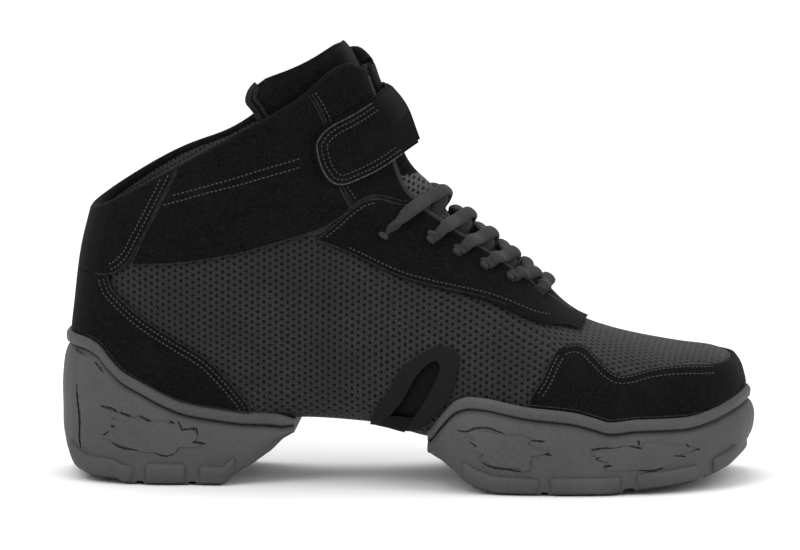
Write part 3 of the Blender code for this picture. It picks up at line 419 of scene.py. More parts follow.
def crease(spots):
    """Depth of the soft folds at points of the upper: troughs below zero, ridges above."""
    depth = np.zeros((len(spots), 1))
    for side, first, second, rise, spread in CREASES:
        a = np.array([at(first[0]), float(height(first[1]))])
        b = np.array([at(second[0]), float(height(second[1]))])
        way = b - a
        share = np.clip((spots[:, [0, 2]] - a) @ way / (way @ way), 0.0, 1.0)
        gap = np.linalg.norm(spots[:, [0, 2]] - a - share[:, None] * way, axis=1)
        fade = np.sin(np.pi * (0.08 + 0.84 * share)) * (spots[:, 1] * side > 0)
        depth[:, 0] += rise * fade * np.exp(-((gap / spread) ** 2))
    return depth


def surface(rows, run_function, offset):
    """Grid of points over the upper, moved out by the offset at each row."""
    grid = []
    for u in rows:
        runs = run_function(u)
        points, run = section(u)
        spots = read(points, run, runs)
        grid.append(spots + (offset(u) + crease(spots)) * normals(u, runs))
    grid = np.array(grid)
    closed = np.linalg.norm(grid[:, 0] - grid[:, -1], axis=1) < WELD
    grid[closed, -1] = grid[closed, 0]
    return grid


def section_rows(first, last):
    """Rows of a grid, one of them on the front end of the throat."""
    rows = np.arange(first, last + WELD, SECTION_STEP)
    rows[np.abs(rows - THROAT_ROW) < SECTION_STEP / 2] = THROAT_ROW
    return rows


def toe_point(offset):
    """Foremost point of the upper, moved out by the offset."""
    along, up, centre = TOE_POINT
    return np.array([at(along) + offset, centre * BALL_WIDTH, height(up)])


def with_toe(grid, offset):
    """The grid closed at the toe with its foremost point."""
    tip = np.broadcast_to(toe_point(offset), (1, grid.shape[1], 3))
    return np.concatenate([tip, grid])


def wall_thickness(u):
    """Thickness of the upper at row u: it is padded towards the collar."""
    return WALL + (COLLAR_WALL - WALL) * smooth((u - PAD_ROW) / (COLLAR_ROW - PAD_ROW))


def link(name, data):
    """Object of a mesh, light or camera, in the scene."""
    thing = bpy.data.objects.new(name, data)
    bpy.context.scene.collection.objects.link(thing)
    return thing


def new_object(name, points, faces):
    """Object from points and faces."""
    mesh = bpy.data.meshes.new(name)
    mesh.from_pydata([tuple(point) for point in points], [], faces)
    mesh.update()
    return link(name, mesh)


def grid_faces(rows, count):
    """Four-sided faces between the points of a grid."""
    corners = [i * count + j for i in range(rows - 1) for j in range(count - 1)]
    return [(a, a + 1, a + count + 1, a + count) for a in corners]


def split(loop):
    """Triangles of a loop, always with the same diagonal, so that layers stay parallel."""
    return [(loop[0], loop[k], loop[k + 1]) for k in range(1, len(loop) - 1)]


def slab(name, outer, inner, keep=None):
    """Closed solid between two grids of points, over the cells to keep."""
    rows, count = outer.shape[:2]
    if keep is None:
        keep = np.ones((rows - 1, count - 1), bool)
    names = {}
    spots = []
    index = np.empty((rows, count), int)
    for i in range(rows):
        for j in range(count):
            key = tuple(np.round(outer[i, j], 7))
            if key not in names:
                names[key] = len(spots)
                spots.append((i, j))
            index[i, j] = names[key]
    faces = []
    edges = set()
    for i, j in zip(*np.nonzero(keep)):
        loop = [index[i, j], index[i + 1, j], index[i + 1, j + 1], index[i, j + 1]]
        loop = [vertex for k, vertex in enumerate(loop) if vertex != loop[k - 1]]
        if len(loop) < 3:
            continue
        faces += split(loop)
        edges.update((loop[k - 1], loop[k]) for k in range(len(loop)))
    total = len(spots)
    back = [[vertex + total for vertex in reversed(face)] for face in faces]
    rim = [[b, a, a + total, b + total] for a, b in edges if (b, a) not in edges]
    points = [outer[spot] for spot in spots] + [inner[spot] for spot in spots]
    thing = new_object(name, points, faces + back + rim)
    drop_loose(thing)
    return thing


def drop_loose(thing):
    """Remove points that no face uses."""
    work = bmesh.new()
    work.from_mesh(thing.data)
    loose = [vertex for vertex in work.verts if not vertex.link_faces]
    bmesh.ops.delete(work, geom=loose, context="VERTS")
    work.to_mesh(thing.data)
    work.free()


def settle(thing):
    """Apply the modifiers of an object."""
    bpy.context.view_layer.update()
    evaluated = thing.evaluated_get(bpy.context.evaluated_depsgraph_get())
    mesh = bpy.data.meshes.new_from_object(evaluated)
    thing.modifiers.clear()
    thing.data = mesh


def boolean(thing, operation, other):
    """Cut or join, apply it and remove the cutter."""
    modifier = thing.modifiers.new(operation.lower(), "BOOLEAN")
    modifier.operation = operation
    modifier.object = other
    modifier.solver = "EXACT"
    settle(thing)
    bpy.data.objects.remove(other)


def base_height(x):
    """Height of the upper's underside on the centre line."""
    rows = [row for row in SECTIONS if row[SECTION_COLUMNS.index("base_up")] < 0.2][::-1]
    xs = [at(row[2]) for row in rows]
    return np.interp(x, xs, [float(height(row[3])) for row in rows])


def unit_frame(unit, side, turn):
    """Start point and outward direction at a turn round a rubber unit."""
    sign = SIDES[side]
    tip = -1.0 if unit["name"] == "outsole_heel" else 1.0
    centre = Vector((at(unit["turn"]), unit["centre"], 0.0))
    if turn <= 1.0:
        angle = turn * math.pi / 2
        return centre, Vector((tip * math.cos(angle), sign * math.sin(angle), 0.0))
    x = at(unit["turn"]) + (turn - 1.0) * (at(unit["end"]) - at(unit["turn"]))
    return Vector((x, unit["centre"], 0.0)), Vector((0.0, sign, 0.0))


def reach(tree, start, direction, z):
    """Distance from the start point to the upper's outside at a height."""
    origin = start + direction * SIGHT + Vector((0.0, 0.0, z))
    spot = tree.ray_cast(origin, -direction, SIGHT)[0]
    return SIGHT if spot is None else (spot - start).to_2d().length


def unit_column(unit, tree, side, turn):
    """Ground plan point, direction, rim height and floor height of one column."""
    start, direction = unit_frame(unit, side, turn)
    guess = start + direction * reach(tree, start, direction, float(height(0.21)))
    along = guess.x / LENGTH + BALL_AT
    rim = float(height(spline(*zip(*unit["rim"]), along)))
    level = max(rim - BEAD_HEIGHT / 2, float(base_height(guess.x)) + BEAD_HEIGHT)
    distance = reach(tree, start, direction, level)
    foot = start + direction * (distance + SIDE_OUT)
    floor = float(height(np.interp(foot.x / LENGTH + BALL_AT, *zip(*unit["floor"]))))
    return start, direction, distance, rim, floor


def side_profile(rim, floor):
    """Steps of a unit's side from the rim to the floor: how far out and how high."""
    room = rim - floor
    bead = min(BEAD_HEIGHT, 0.45 * room)
    groove = rim - bead - GROOVE_HEIGHT * bead / BEAD_HEIGHT
    rest = groove - floor
    foot = min(FOOT_RADIUS, 0.3 * rest)
    return (
        (-CUP_INSET, rim - 0.25 * bead),
        (0.25 * BEAD_OUT, rim - 0.04 * bead),
        (0.65 * BEAD_OUT, rim),
        (BEAD_OUT, rim - 0.30 * bead),
        (BEAD_OUT, rim - 0.70 * bead),
        (GROOVE_OUT, groove + 0.4 * GROOVE_HEIGHT),
        (GROOVE_OUT + 0.35 * (SIDE_OUT - GROOVE_OUT), groove - 0.06 * rest),
        (SIDE_OUT, groove - 0.30 * rest),
        (SIDE_OUT, groove - 0.62 * rest),
        (0.5 * (SIDE_OUT + FOOT_OUT), floor + foot),
        (FOOT_OUT, floor + 0.25 * foot),
        (FOOT_OUT - 0.5 * foot, floor),
    )


def fix_facing(thing, weld=0.0):
    """Merge the points of a closed mesh that touch, and turn its faces outwards."""
    work = bmesh.new()
    work.from_mesh(thing.data)
    if weld:
        bmesh.ops.remove_doubles(work, verts=work.verts, dist=weld)
    bmesh.ops.recalc_face_normals(work, faces=work.faces)
    work.to_mesh(thing.data)
    work.free()
    return thing


def shrink(plan, margin):
    """Outline moved inwards by a margin at every corner."""
    area = sum(a[0] * b[1] - b[0] * a[1] for a, b in zip(plan, plan[1:] + plan[:1]))
    turn = 1.0 if area > 0 else -1.0
    moved = []
    for before, here, after in zip(plan[-1:] + plan[:-1], plan, plan[1:] + plan[:1]):
        first = (Vector(here) - Vector(before)).normalized()
        second = (Vector(after) - Vector(here)).normalized()
        inward = Vector((-first.y - second.y, first.x + second.x)).normalized() * turn
        bend = max(0.5, math.sqrt((1 + first.dot(second)) / 2))
        moved.append(tuple(Vector(here) + inward * margin / bend))
    return moved


def above_rim(edge, rim):
    """Closed outline between an edge and the rim of a rubber unit, from its last point back."""
    first = edge[0][0]
    last = edge[-1][0]
    lift = RIM_GAP / COLLAR_HEIGHT
    back = []
    for k in range(RIM_STEPS + 1):
        along = last + (first - last) * k / RIM_STEPS
        back.append((along, float(spline(*zip(*rim), along)) + lift))
    return tuple(edge) + tuple(back)


def over_front(u):
    """Running lengths of columns that cross the front of the ankle from side to side."""
    run = section(u)[1]
    sides = columns(u)
    lateral = sides[:FRONT_COLUMNS]
    medial = sides[-FRONT_COLUMNS:]
    return np.concatenate([medial, [run[-1]], lateral])


def on_side(tree, along, up, side):
    """Point of the upper's outside on one side, and its outward direction."""
    sign = SIDES[side]
    origin = Vector((at(along), sign * BALL_WIDTH, float(height(up))))
    spot, direction = tree.ray_cast(origin, Vector((0.0, -sign, 0.0)))[:2]
    return spot, direction.normalized()


SUEDE_EDGE = 0.0006
KNIT_SKIN = 0.0011
OUTLINE_STEPS = 5


def rounded(plan, closed=True):
    """Smooth line through the points of a plan, its sharp corners kept."""
    count = len(plan)
    points = [np.array(point, float) for point in plan]
    tangents = []
    for k, here in enumerate(points):
        before = points[k - 1] if closed or k else here
        after = points[(k + 1) % count] if closed or k < count - 1 else here
        first = here - before
        second = after - here
        size = np.linalg.norm(first) * np.linalg.norm(second)
        if size == 0.0 or first @ second / size < 0.55:
            tangents.append(None)
            continue
        along = first / np.linalg.norm(first) + second / np.linalg.norm(second)
        tangents.append(along / np.linalg.norm(along))
    line = []
    for k in range(count if closed else count - 1):
        start = points[k]
        end = points[(k + 1) % count]
        chord = end - start
        size = np.linalg.norm(chord)
        out = chord if tangents[k] is None else tangents[k] * size
        into = chord if tangents[(k + 1) % count] is None else tangents[(k + 1) % count] * size
        for n in range(OUTLINE_STEPS):
            t = n / OUTLINE_STEPS
            line.append(tuple(
                (1 + 2 * t) * (1 - t) ** 2 * start + t * (1 - t) ** 2 * out
                + t * t * (3 - 2 * t) * end + t * t * (t - 1) * into
            ))
    if not closed:
        line.append(tuple(points[-1]))
    return line


def metres(outline):
    """Side-view points in metres of an outline in shares."""
    return [(at(along), float(height(up))) for along, up in outline]


def plan_of(outline, closed=True):
    """Smooth side-view line in metres of an outline in shares."""
    return rounded(metres(outline), closed)


def prism(plan, side):
    """Bar across the shoe with a side-view plan, on one side of it or on both."""
    low = 0.0 if side == "medial" else -BALL_WIDTH
    high = 0.0 if side == "lateral" else BALL_WIDTH
    count = len(plan)
    points = [(x, y, z) for y in (low, high) for x, z in plan]
    faces = [tuple(range(count)), tuple(range(2 * count - 1, count - 1, -1))]
    faces += [(k, (k + 1) % count, (k + 1) % count + count, k + count) for k in range(count)]
    return fix_facing(new_object("prism", points, faces))


def dress(thing, look, angle=40.0, bevel=0.0, rim=None):
    """Material, rounded rim and smooth shading."""
    thing.data.materials.clear()
    thing.data.materials.append(look)
    if rim is not None:
        thing.data.materials.append(rim)
    if bevel:
        modifier = thing.modifiers.new("rim", "BEVEL")
        modifier.width = bevel
        modifier.segments = 2
        modifier.limit_method = "ANGLE"
        modifier.angle_limit = math.radians(60)
        # With a second look given, the bevel faces take it: a lighter look paints a highlight on the rim
        modifier.material = 0 if rim is None else 1
        settle(thing)
    mesh = thing.data
    mesh.polygons.foreach_set("use_smooth", [True] * len(mesh.polygons))
    mesh.set_sharp_from_angle(angle=math.radians(angle))
    mesh.update()
    return thing


def overlay(
    name, plan, side, rows, look, low=GAP, high=GAP + OVERLAY, runs=columns, bevel=SUEDE_EDGE, rim=None
):
    """Panel over the upper, cut from the upper's own surface by a side-view plan."""
    steps = section_rows(*rows)
    inner = surface(steps, runs, lambda u: low)
    outer = surface(steps, runs, lambda u: high)
    if rows[0] == 0.0:
        inner = with_toe(inner, low)
        outer = with_toe(outer, high)
    thing = slab(name, outer, inner)
    boolean(thing, "INTERSECT", prism(plan, side))
    return dress(thing, look, bevel=bevel, rim=rim)


def stand_in(piece, slot, *nodes):
    """Piece that rides with the shoe and shows in place of solids."""
    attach(piece, "root")
    if nodes:
        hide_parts(*nodes)
    return piece


def node(tree, kind, values=(), links=(), **settings):
    """Shader node with its settings, socket values and links."""
    made = tree.nodes.new(kind)
    for name, value in settings.items():
        setattr(made, name, value)
    for name, value in dict(values).items():
        made.inputs[name].default_value = value
    for name, source in dict(links).items():
        tree.links.new(source, made.inputs[name])
    return made


def maths(tree, operation, first, second=None):
    """Output of a math node on sockets or numbers."""
    made = tree.nodes.new("ShaderNodeMath")
    made.operation = operation
    for slot, value in enumerate((first, second)):
        if value is None:
            continue
        if isinstance(value, (int, float)):
            made.inputs[slot].default_value = value
        else:
            tree.links.new(value, made.inputs[slot])
    return made.outputs[0]


def ramp(tree, source, low, high, start=0.0, end=1.0):
    """Soft step of a socket's value from low to high."""
    made = node(tree, "ShaderNodeMapRange", {1: low, 2: high, 3: start, 4: end}, {0: source})
    made.interpolation_type = "SMOOTHSTEP"
    return made.outputs[0]


def noise(tree, place, scale, detail=2.0, rough=0.5):
    """Noise value at a place."""
    return node(
        tree, "ShaderNodeTexNoise", {"Scale": scale, "Detail": detail, "Roughness": rough},
        {"Vector": place},
    ).outputs[0]


def blend(tree, factor, first, second):
    """Colour between two colours or sockets."""
    made = tree.nodes.new("ShaderNodeMix")
    made.data_type = "RGBA"
    tree.links.new(factor, made.inputs[0])
    for slot, value in ((6, first), (7, second)):
        if isinstance(value, tuple):
            made.inputs[slot].default_value = (*value, 1.0)
        else:
            tree.links.new(value, made.inputs[slot])
    return made.outputs[2]


def grey(level, warm=0.0):
    """Colour of one brightness, a little warm or cool."""
    return (level * (1 + warm), level, level * (1 - warm))


def start_material(name, rough, sheen=0.0, metal=0.0, gloss=0.35):
    """Principled material with its fixed finish, and the object's own coordinates."""
    made = bpy.data.materials.new(name)
    made.use_nodes = True
    tree = made.node_tree
    shader = tree.nodes["Principled BSDF"]
    shader.inputs["Roughness"].default_value = rough
    shader.inputs["Metallic"].default_value = metal
    shader.inputs["Sheen Weight"].default_value = sheen
    shader.inputs["Sheen Roughness"].default_value = 0.45
    shader.inputs["Specular IOR Level"].default_value = gloss
    where = tree.nodes.new("ShaderNodeTexCoord")
    return made, tree, shader, where


def relief(tree, shader, value, distance, strength=1.0):
    """Bump of the shader from a value."""
    made = node(
        tree, "ShaderNodeBump", {"Strength": strength, "Distance": distance}, {"Height": value}
    )
    tree.links.new(made.outputs[0], shader.inputs["Normal"])


def colour(tree, shader, source):
    """Base colour of the shader."""
    tree.links.new(source, shader.inputs["Base Color"])


def suede_look(name, level=0.0036):
    """Black suede: mottled nap, worn a little lighter in patches."""
    made, tree, shader, where = start_material(name, 0.95, sheen=0.02, gloss=0.06)
    place = where.outputs["Object"]
    nap = noise(tree, place, 900.0, 3.0, 0.6)
    patch = noise(tree, place, 55.0, 3.0, 0.6)
    fine = noise(tree, place, 3200.0, 2.0)
    first = blend(tree, ramp(tree, nap, 0.3, 0.72), grey(level * 0.55), grey(level * 1.6))
    worn = blend(tree, ramp(tree, patch, 0.5, 0.9), first, grey(level * 2.0))
    colour(tree, shader, worn)
    value = maths(tree, "ADD", maths(tree, "MULTIPLY", nap, 0.6), maths(tree, "MULTIPLY", fine, 0.5))
    relief(tree, shader, value, 0.00025, 0.8)
    return made


def lattice(tree, first, second, pitch, step):
    """Staggered lattice: 1 at its points, less between them."""
    a = maths(tree, "COSINE", maths(tree, "MULTIPLY", first, 2 * math.pi / pitch))
    b = maths(tree, "COSINE", maths(tree, "MULTIPLY", second, math.pi / step))
    return maths(tree, "MULTIPLY", a, b)


def honeycomb(tree, first, second, pitch):
    """Three crossed waves: 1 at the points of a triangular lattice, less between them."""
    turn = 2 * math.pi / (pitch * math.cos(math.pi / 6))
    a = maths(tree, "MULTIPLY", first, turn)
    b = maths(tree, "MULTIPLY", first, turn / 2)
    c = maths(tree, "MULTIPLY", second, turn * math.cos(math.pi / 6))
    pair = maths(tree, "MULTIPLY", maths(tree, "COSINE", b), maths(tree, "COSINE", c))
    total = maths(tree, "ADD", maths(tree, "COSINE", a), maths(tree, "MULTIPLY", pair, 2.0))
    return maths(tree, "MULTIPLY", total, 1 / 3)


def knit_look(name, yarn, hole, pitch=0.0027, depth=0.0008):
    """Open knit: rows of staggered holes between yarns, on every side of the shoe."""
    made, tree, shader, where = start_material(name, 0.85, sheen=0.10, gloss=0.12)
    place = where.outputs["Object"]
    axes = tree.nodes.new("ShaderNodeSeparateXYZ")
    tree.links.new(place, axes.inputs[0])
    facing = tree.nodes.new("ShaderNodeSeparateXYZ")
    tree.links.new(where.outputs["Normal"], facing.inputs[0])
    x, y, z = axes.outputs
    wave = maths(tree, "MULTIPLY", noise(tree, place, 30.0, 1.0), 0.004)
    z = maths(tree, "ADD", z, wave)
    side = honeycomb(tree, x, z, pitch)
    top = honeycomb(tree, x, y, pitch)
    end = honeycomb(tree, y, z, pitch)
    up_share = ramp(tree, maths(tree, "ABSOLUTE", facing.outputs[2]), 0.66, 0.78)
    end_share = ramp(tree, maths(tree, "ABSOLUTE", facing.outputs[0]), 0.66, 0.78)
    value = side
    for share, other in ((up_share, top), (end_share, end)):
        made_mix = tree.nodes.new("ShaderNodeMix")
        tree.links.new(share, made_mix.inputs[0])
        tree.links.new(value, made_mix.inputs[2])
        tree.links.new(other, made_mix.inputs[3])
        value = made_mix.outputs[0]
    jitter = maths(tree, "MULTIPLY", maths(tree, "SUBTRACT", noise(tree, place, 420.0, 2.0), 0.5), 0.75)
    value = maths(tree, "ADD", value, jitter)
    open_share = ramp(tree, value, 0.02, 0.52)
    fibre = noise(tree, place, 2600.0, 2.0)
    patch = noise(tree, place, 45.0, 2.0)
    thread = blend(tree, ramp(tree, fibre, 0.25, 0.75), grey(yarn * 0.35), grey(yarn * 1.8))
    thread = blend(tree, ramp(tree, patch, 0.35, 0.7), thread, grey(yarn * 0.85))
    colour(tree, shader, blend(tree, open_share, thread, grey(hole)))
    value = maths(tree, "SUBTRACT", maths(tree, "MULTIPLY", fibre, 0.25), open_share)
    relief(tree, shader, value, depth)
    return made


def rubber_look(name, level=0.047):
    """Grey rubber: fine grain and faint lighter blotches."""
    made, tree, shader, where = start_material(name, 0.62, gloss=0.32)
    place = where.outputs["Object"]
    grain = noise(tree, place, 1500.0, 3.0, 0.65)
    patch = noise(tree, place, 38.0, 4.0, 0.6)
    base = blend(tree, ramp(tree, grain, 0.3, 0.7), grey(level * 0.78), grey(level * 1.24))
    colour(tree, shader, blend(tree, ramp(tree, patch, 0.4, 0.75), base, grey(level * 1.22)))
    relief(tree, shader, grain, 0.00030, 0.8)
    return made


def cloth_look(name, level, scale=0.0007, rough=0.8, sheen=0.02):
    """Plain woven cloth: crossed threads, fine enough to look smooth a step away."""
    made, tree, shader, where = start_material(name, rough, sheen=sheen, gloss=0.15)
    place = where.outputs["Object"]
    axes = tree.nodes.new("ShaderNodeSeparateXYZ")
    tree.links.new(place, axes.inputs[0])
    x, y, z = axes.outputs
    across = maths(tree, "ADD", x, y)
    weave = lattice(tree, across, z, 2 * scale, scale)
    fibre = noise(tree, place, 2500.0, 2.0)
    share = ramp(tree, weave, -0.5, 0.8)
    threads = blend(tree, share, grey(level * 0.7), grey(level * 1.25))
    colour(tree, shader, blend(tree, ramp(tree, fibre, 0.3, 0.8), threads, grey(level * 0.9)))
    relief(tree, shader, maths(tree, "ADD", weave, fibre), 0.00012)
    return made


def metal_look(name, level=0.42):
    """Dark bright metal with fine scratches."""
    made, tree, shader, where = start_material(name, 0.28, metal=1.0)
    scratch = noise(tree, where.outputs["Object"], 2200.0, 2.0)
    colour(tree, shader, blend(tree, scratch, grey(level * 0.8), grey(level * 1.1)))
    relief(tree, shader, scratch, 0.00003, 0.4)
    return made


def floor_look():
    """Pale floor with a barely visible tooth."""
    made, tree, shader, where = start_material("floor_paint", 0.9)
    tooth = noise(tree, where.outputs["Object"], 40.0, 3.0)
    colour(tree, shader, blend(tree, tooth, grey(0.90), grey(0.93)))
    return made


def hull_grid():
    """Grid round the whole upper, its throat spanned, and the tree of its faces."""
    rows = section_rows(0.0, COLLAR_ROW)
    spans = 8

    def whole(u):
        run = section(u)[1]
        sides = columns(u)
        first = np.linspace(run[0], sides[0], spans, endpoint=False)
        last = np.linspace(run[-1], sides[-1], spans, endpoint=False)[::-1]
        return np.concatenate([first, sides, last])

    grid = with_toe(surface(rows, whole, lambda u: 0.0), 0.0)
    return BVHTree.FromPolygons([Vector(point) for point in grid.reshape(-1, 3)], grid_faces(*grid.shape[:2]))


def join(name, things):
    """One object from several."""
    work = bmesh.new()
    for thing in things:
        work.from_mesh(thing.data)
        bpy.data.objects.remove(thing)
    return from_work(name, work)


def tube_mesh(work, points, radii, sides=8, squash=1.0, up=Vector((0.0, 0.0, 1.0))):
    """Closed round bar along points, its radius given at each; squash flattens it along up."""
    points = [Vector(point) for point in points]
    rings = []
    for k, point in enumerate(points):
        forward = (points[min(k + 1, len(points) - 1)] - points[max(k - 1, 0)]).normalized()
        across = forward.cross(up)
        if across.length < 0.01:
            across = forward.cross(Vector((1.0, 0.0, 0.0)))
        across.normalize()
        lift = across.cross(forward).normalized()
        ring = []
        for n in range(sides):
            turn = 2 * math.pi * n / sides
            offset = across * math.cos(turn) + lift * math.sin(turn) * squash
            ring.append(work.verts.new(point + offset * radii[k]))
        rings.append(ring)
    for first, second in zip(rings, rings[1:]):
        for n in range(sides):
            m = (n + 1) % sides
            work.faces.new((first[n], first[m], second[m], second[n]))
    work.faces.new(rings[0][::-1])
    work.faces.new(rings[-1])


def from_work(name, work):
    """Object from a work mesh."""
    mesh = bpy.data.meshes.new(name)
    work.to_mesh(mesh)
    work.free()
    return link(name, mesh)


def cord_piece(name, work, look, slot):
    """Bars of a work mesh, as one dressed piece."""
    stand_in(dress(from_work(name, work), look, angle=60.0), slot)


def resample(points, pitch):
    """Points at even distances along a line."""
    points = np.array(points, float)
    run = np.concatenate([[0.0], np.cumsum(np.linalg.norm(np.diff(points, axis=0), axis=1))])
    count = max(2, int(round(run[-1] / pitch)) + 1)
    where = np.linspace(0.0, run[-1], count)
    return np.stack([np.interp(where, run, points[:, axis]) for axis in range(points.shape[1])], axis=-1)


def on_plan(tree, x, z, side):
    """Point and outward direction of the upper's side at a side-view place, or None."""
    sign = SIDES[side]
    spot, direction = tree.ray_cast(Vector((x, sign * BALL_WIDTH, z)), Vector((0.0, -sign, 0.0)))[:2]
    if spot is None:
        return None
    if direction.y * sign < 0:
        direction = -direction
    return spot, direction


def follow(tree, plan, side, lift):
    """Line over the upper's side from a side-view plan, lifted off it."""
    hits = [on_plan(tree, x, z, side) for x, z in resample(plan, LINE_STEP)]
    hits = [hit for hit in hits if hit is not None]
    return [tuple(spot + direction * lift) for spot, direction in hits]


STITCH = 0.00115
STITCH_STEP = 0.00175
THREAD = 0.00027


def stitch(work, tree, plan, side, lift, facing=0.0):
    """Row of single stitches over the upper's side."""
    line = follow(tree, plan, side, lift)
    if len(line) < 4:
        return
    spots = resample(line, STITCH_STEP)
    for here, after in zip(spots[:-1], spots[1:]):
        here = Vector(here)
        step = Vector(after) - here
        if step.length < 0.6 * STITCH_STEP or abs(step.y) > 0.75 * step.length:
            continue
        if abs(tree.find_nearest(here)[1].y) < facing:
            continue
        step = step.normalized() * STITCH
        parts = (0.0, 0.15, 0.5, 0.85, 1.0)
        sizes = (0.35, 0.9, 1.0, 0.9, 0.35)
        sinks = (0.00025, 0.00005, 0.0, 0.00005, 0.00025)
        sign = SIDES[side]
        points = [here + step * part - Vector((0.0, sign * sink, 0.0)) for part, sink in zip(parts, sinks)]
        tube_mesh(work, points, [THREAD * size for size in sizes], sides=5)


def row_of(plan, first, last, margin, steps=OUTLINE_STEPS):
    """Part of a plan's line between two of its outline's points, moved inwards."""
    return shrink(plan, margin)[first * steps:last * steps + 1]


# Torn relief of the rubber, seen from the side: raised sheets and cut strokes, in shares
HEEL_TORN = (
    shares(
        52, 181, 62, 176, 76, 171, 94, 161, 108, 163, 120, 152, 132, 155, 146, 153, 154, 148, 167, 147,
        171, 131, 186, 135, 193, 128, 194, 112, 186, 104, 202, 99, 193, 94, 168, 94, 162, 80, 151, 73, 139,
        76, 132, 81, 113, 81, 97, 88, 83, 94, 71, 103, 55, 110, 59, 120, 67, 133, 72, 137, 63, 152, 74,
        158, 59, 168,
    ),
)
FORE_TORN = (
    shares(
        602, 149, 616, 154, 636, 152, 651, 147, 666, 143, 685, 146, 700, 136, 694, 126, 709, 114, 727, 107,
        715, 101, 701, 97, 697, 82, 700, 67, 688, 60, 678, 70, 663, 67, 642, 71, 634, 81, 620, 86, 628, 98,
        613, 110, 619, 117, 608, 127, 613, 137,
    ),
    shares(
        792, 108, 807, 114, 825, 114, 841, 120, 856, 113, 863, 110, 868, 126, 880, 127, 892, 125, 908, 118,
        923, 114, 944, 104, 929, 99, 908, 91, 926, 87, 914, 77, 895, 66, 880, 61, 853, 63, 828, 63, 807,
        65, 822, 74, 810, 79, 816, 84, 798, 89, 804, 94, 788, 102,
    ),
)
HEEL_STROKES = (
    shares(48, 185, 69, 179, 75, 171),
    shares(78, 173, 97, 164),
    shares(108, 167, 128, 151),
    shares(153, 154, 160, 149),
    shares(166, 155, 172, 133, 193, 137, 196, 120),
    shares(187, 106, 208, 101),
    shares(167, 99, 181, 97),
    shares(64, 139, 73, 140),
    shares(52, 115, 63, 125, 71, 111),
    shares(76, 120, 86, 112),
    shares(66, 99, 80, 89, 111, 84),
    shares(132, 79, 146, 72, 160, 80, 167, 91),
    shares(10, 231, 12, 186, 15, 153, 15, 100, 17, 74),
    shares(7, 307, 24, 299),
    shares(39, 287, 53, 263),
)
FORE_STROKES = (
    shares(588, 153, 602, 151, 614, 159, 636, 160, 646, 155, 660, 148),
    shares(608, 126, 618, 117),
    shares(622, 87, 630, 99),
    shares(626, 77, 642, 67, 663, 64, 685, 58),
    shares(700, 134, 721, 132),
    shares(714, 106, 731, 99),
    shares(788, 112, 807, 115, 823, 114),
    shares(826, 115, 847, 117, 863, 113),
    shares(860, 119, 858, 132),
    shares(796, 91, 807, 86),
    shares(807, 71, 823, 76),
    shares(928, 118, 934, 105, 948, 102),
    shares(856, 63, 880, 59, 895, 64),
    shares(909, 91, 928, 87),
)
TORN_RISE = 0.00055
STROKE_WIDTH = 0.00095
STROKE_DEPTH = 0.0014
BAND_STEP = 0.001
GROOVE_CUT = 0.0016
# Height below which the faces that look down get the painted shade of the underside
SHADE_UNDER_TOP = 0.014


def side_line(rim, floor):
    """Smooth steps of a unit's side, as many for every height, its groove cut in under the bead."""
    steps = list(side_profile(rim, floor))
    bead = (rim - steps[0][1]) * 4
    cut = GROOVE_CUT * bead / BEAD_HEIGHT
    low = steps[5][1]
    steps[5:6] = [
        (0.9 * BEAD_OUT, rim - 0.96 * bead), (GROOVE_OUT - cut, low),
        (GROOVE_OUT - 0.4 * cut, low - cut / 3),
    ]
    return np.array(rounded(steps, closed=False))


def unit_floor(unit, x):
    """Height of a unit's underside, its cross grooves cut in."""
    level = float(height(np.interp(x / LENGTH + BALL_AT, *zip(*unit["floor"]))))
    for along in unit["treads"]:
        if abs(x - at(along)) < TREAD_WIDTH / 2:
            level += TREAD_DEPTH
    return level


def unit_skin(unit, tree):
    """Rubber unit: its sides and underside as one skin."""
    sections = []
    for turn in unit["turns"]:
        pair = []
        for side in SIDES:
            start, direction, distance, rim, floor = unit_column(unit, tree, side, turn)
            line = []
            for out, z in side_line(rim, floor):
                spot = start + direction * (distance + out) + Vector((0.0, 0.0, z))
                spot.z = max(spot.z, unit_floor(unit, spot.x)) if z < floor + TREAD_DEPTH else z
                line.append(spot)
            pair.append(line)
        lateral, medial = pair
        under = []
        for k in range(1, UNDER_COLUMNS):
            spot = lateral[-1].lerp(medial[-1], k / UNDER_COLUMNS)
            spot.z = min(unit_floor(unit, spot.x), float(base_height(spot.x)) - UNIT_END)
            under.append(spot)
        sections.append([tuple(spot) for spot in lateral + under + medial[::-1]])
    size = len(sections[0])
    points = [point for loop in sections for point in loop]
    faces = grid_faces(len(sections), size)
    last = (len(sections) - 1) * size
    faces.append(tuple(last + k for k in range(size)))
    return fix_facing(new_object(unit["name"] + "_skin", points, faces), 2 * WELD)


def lug_block(unit, tree, side, lug):
    """One rounded block on a unit's side, following its curve."""
    first, last, first_rise, last_rise = lug
    steps = 28
    levels = 14
    outer = np.empty((steps, levels, 3))
    inner = np.empty((steps, levels, 3))
    for i in range(steps):
        part = i / (steps - 1)
        turn = first + part * (last - first)
        start, direction, distance, _, floor = unit_column(unit, tree, side, turn)
        rise = (first_rise + part * (last_rise - first_rise)) * LUG_HEIGHT
        edge = 1.0 - abs(2 * part - 1.0) ** 7
        inset = LUG_CORNER * (1.0 - edge ** 0.5)
        for j in range(levels):
            level = j / (levels - 1)
            z = floor + LUG_LIFT + (inset + (1 - 2 * inset) * level) * rise
            swell = (edge * (1.0 - abs(2 * level - 1.0) ** 5)) ** 0.5
            bottom = 0.0004 + FOOT_OUT + (SIDE_OUT - FOOT_OUT) * min(1.0, level * rise / (2 * FOOT_RADIUS))
            out = bottom + LUG_OUT * (1.15 * swell - 0.15)
            outer[i, j] = start + direction * (distance + out) + Vector((0.0, 0.0, z))
            inner[i, j] = start + direction * (distance + LUG_ROOT * SIDE_OUT) + Vector((0.0, 0.0, z))
    return fix_facing(slab("lug", outer, inner))


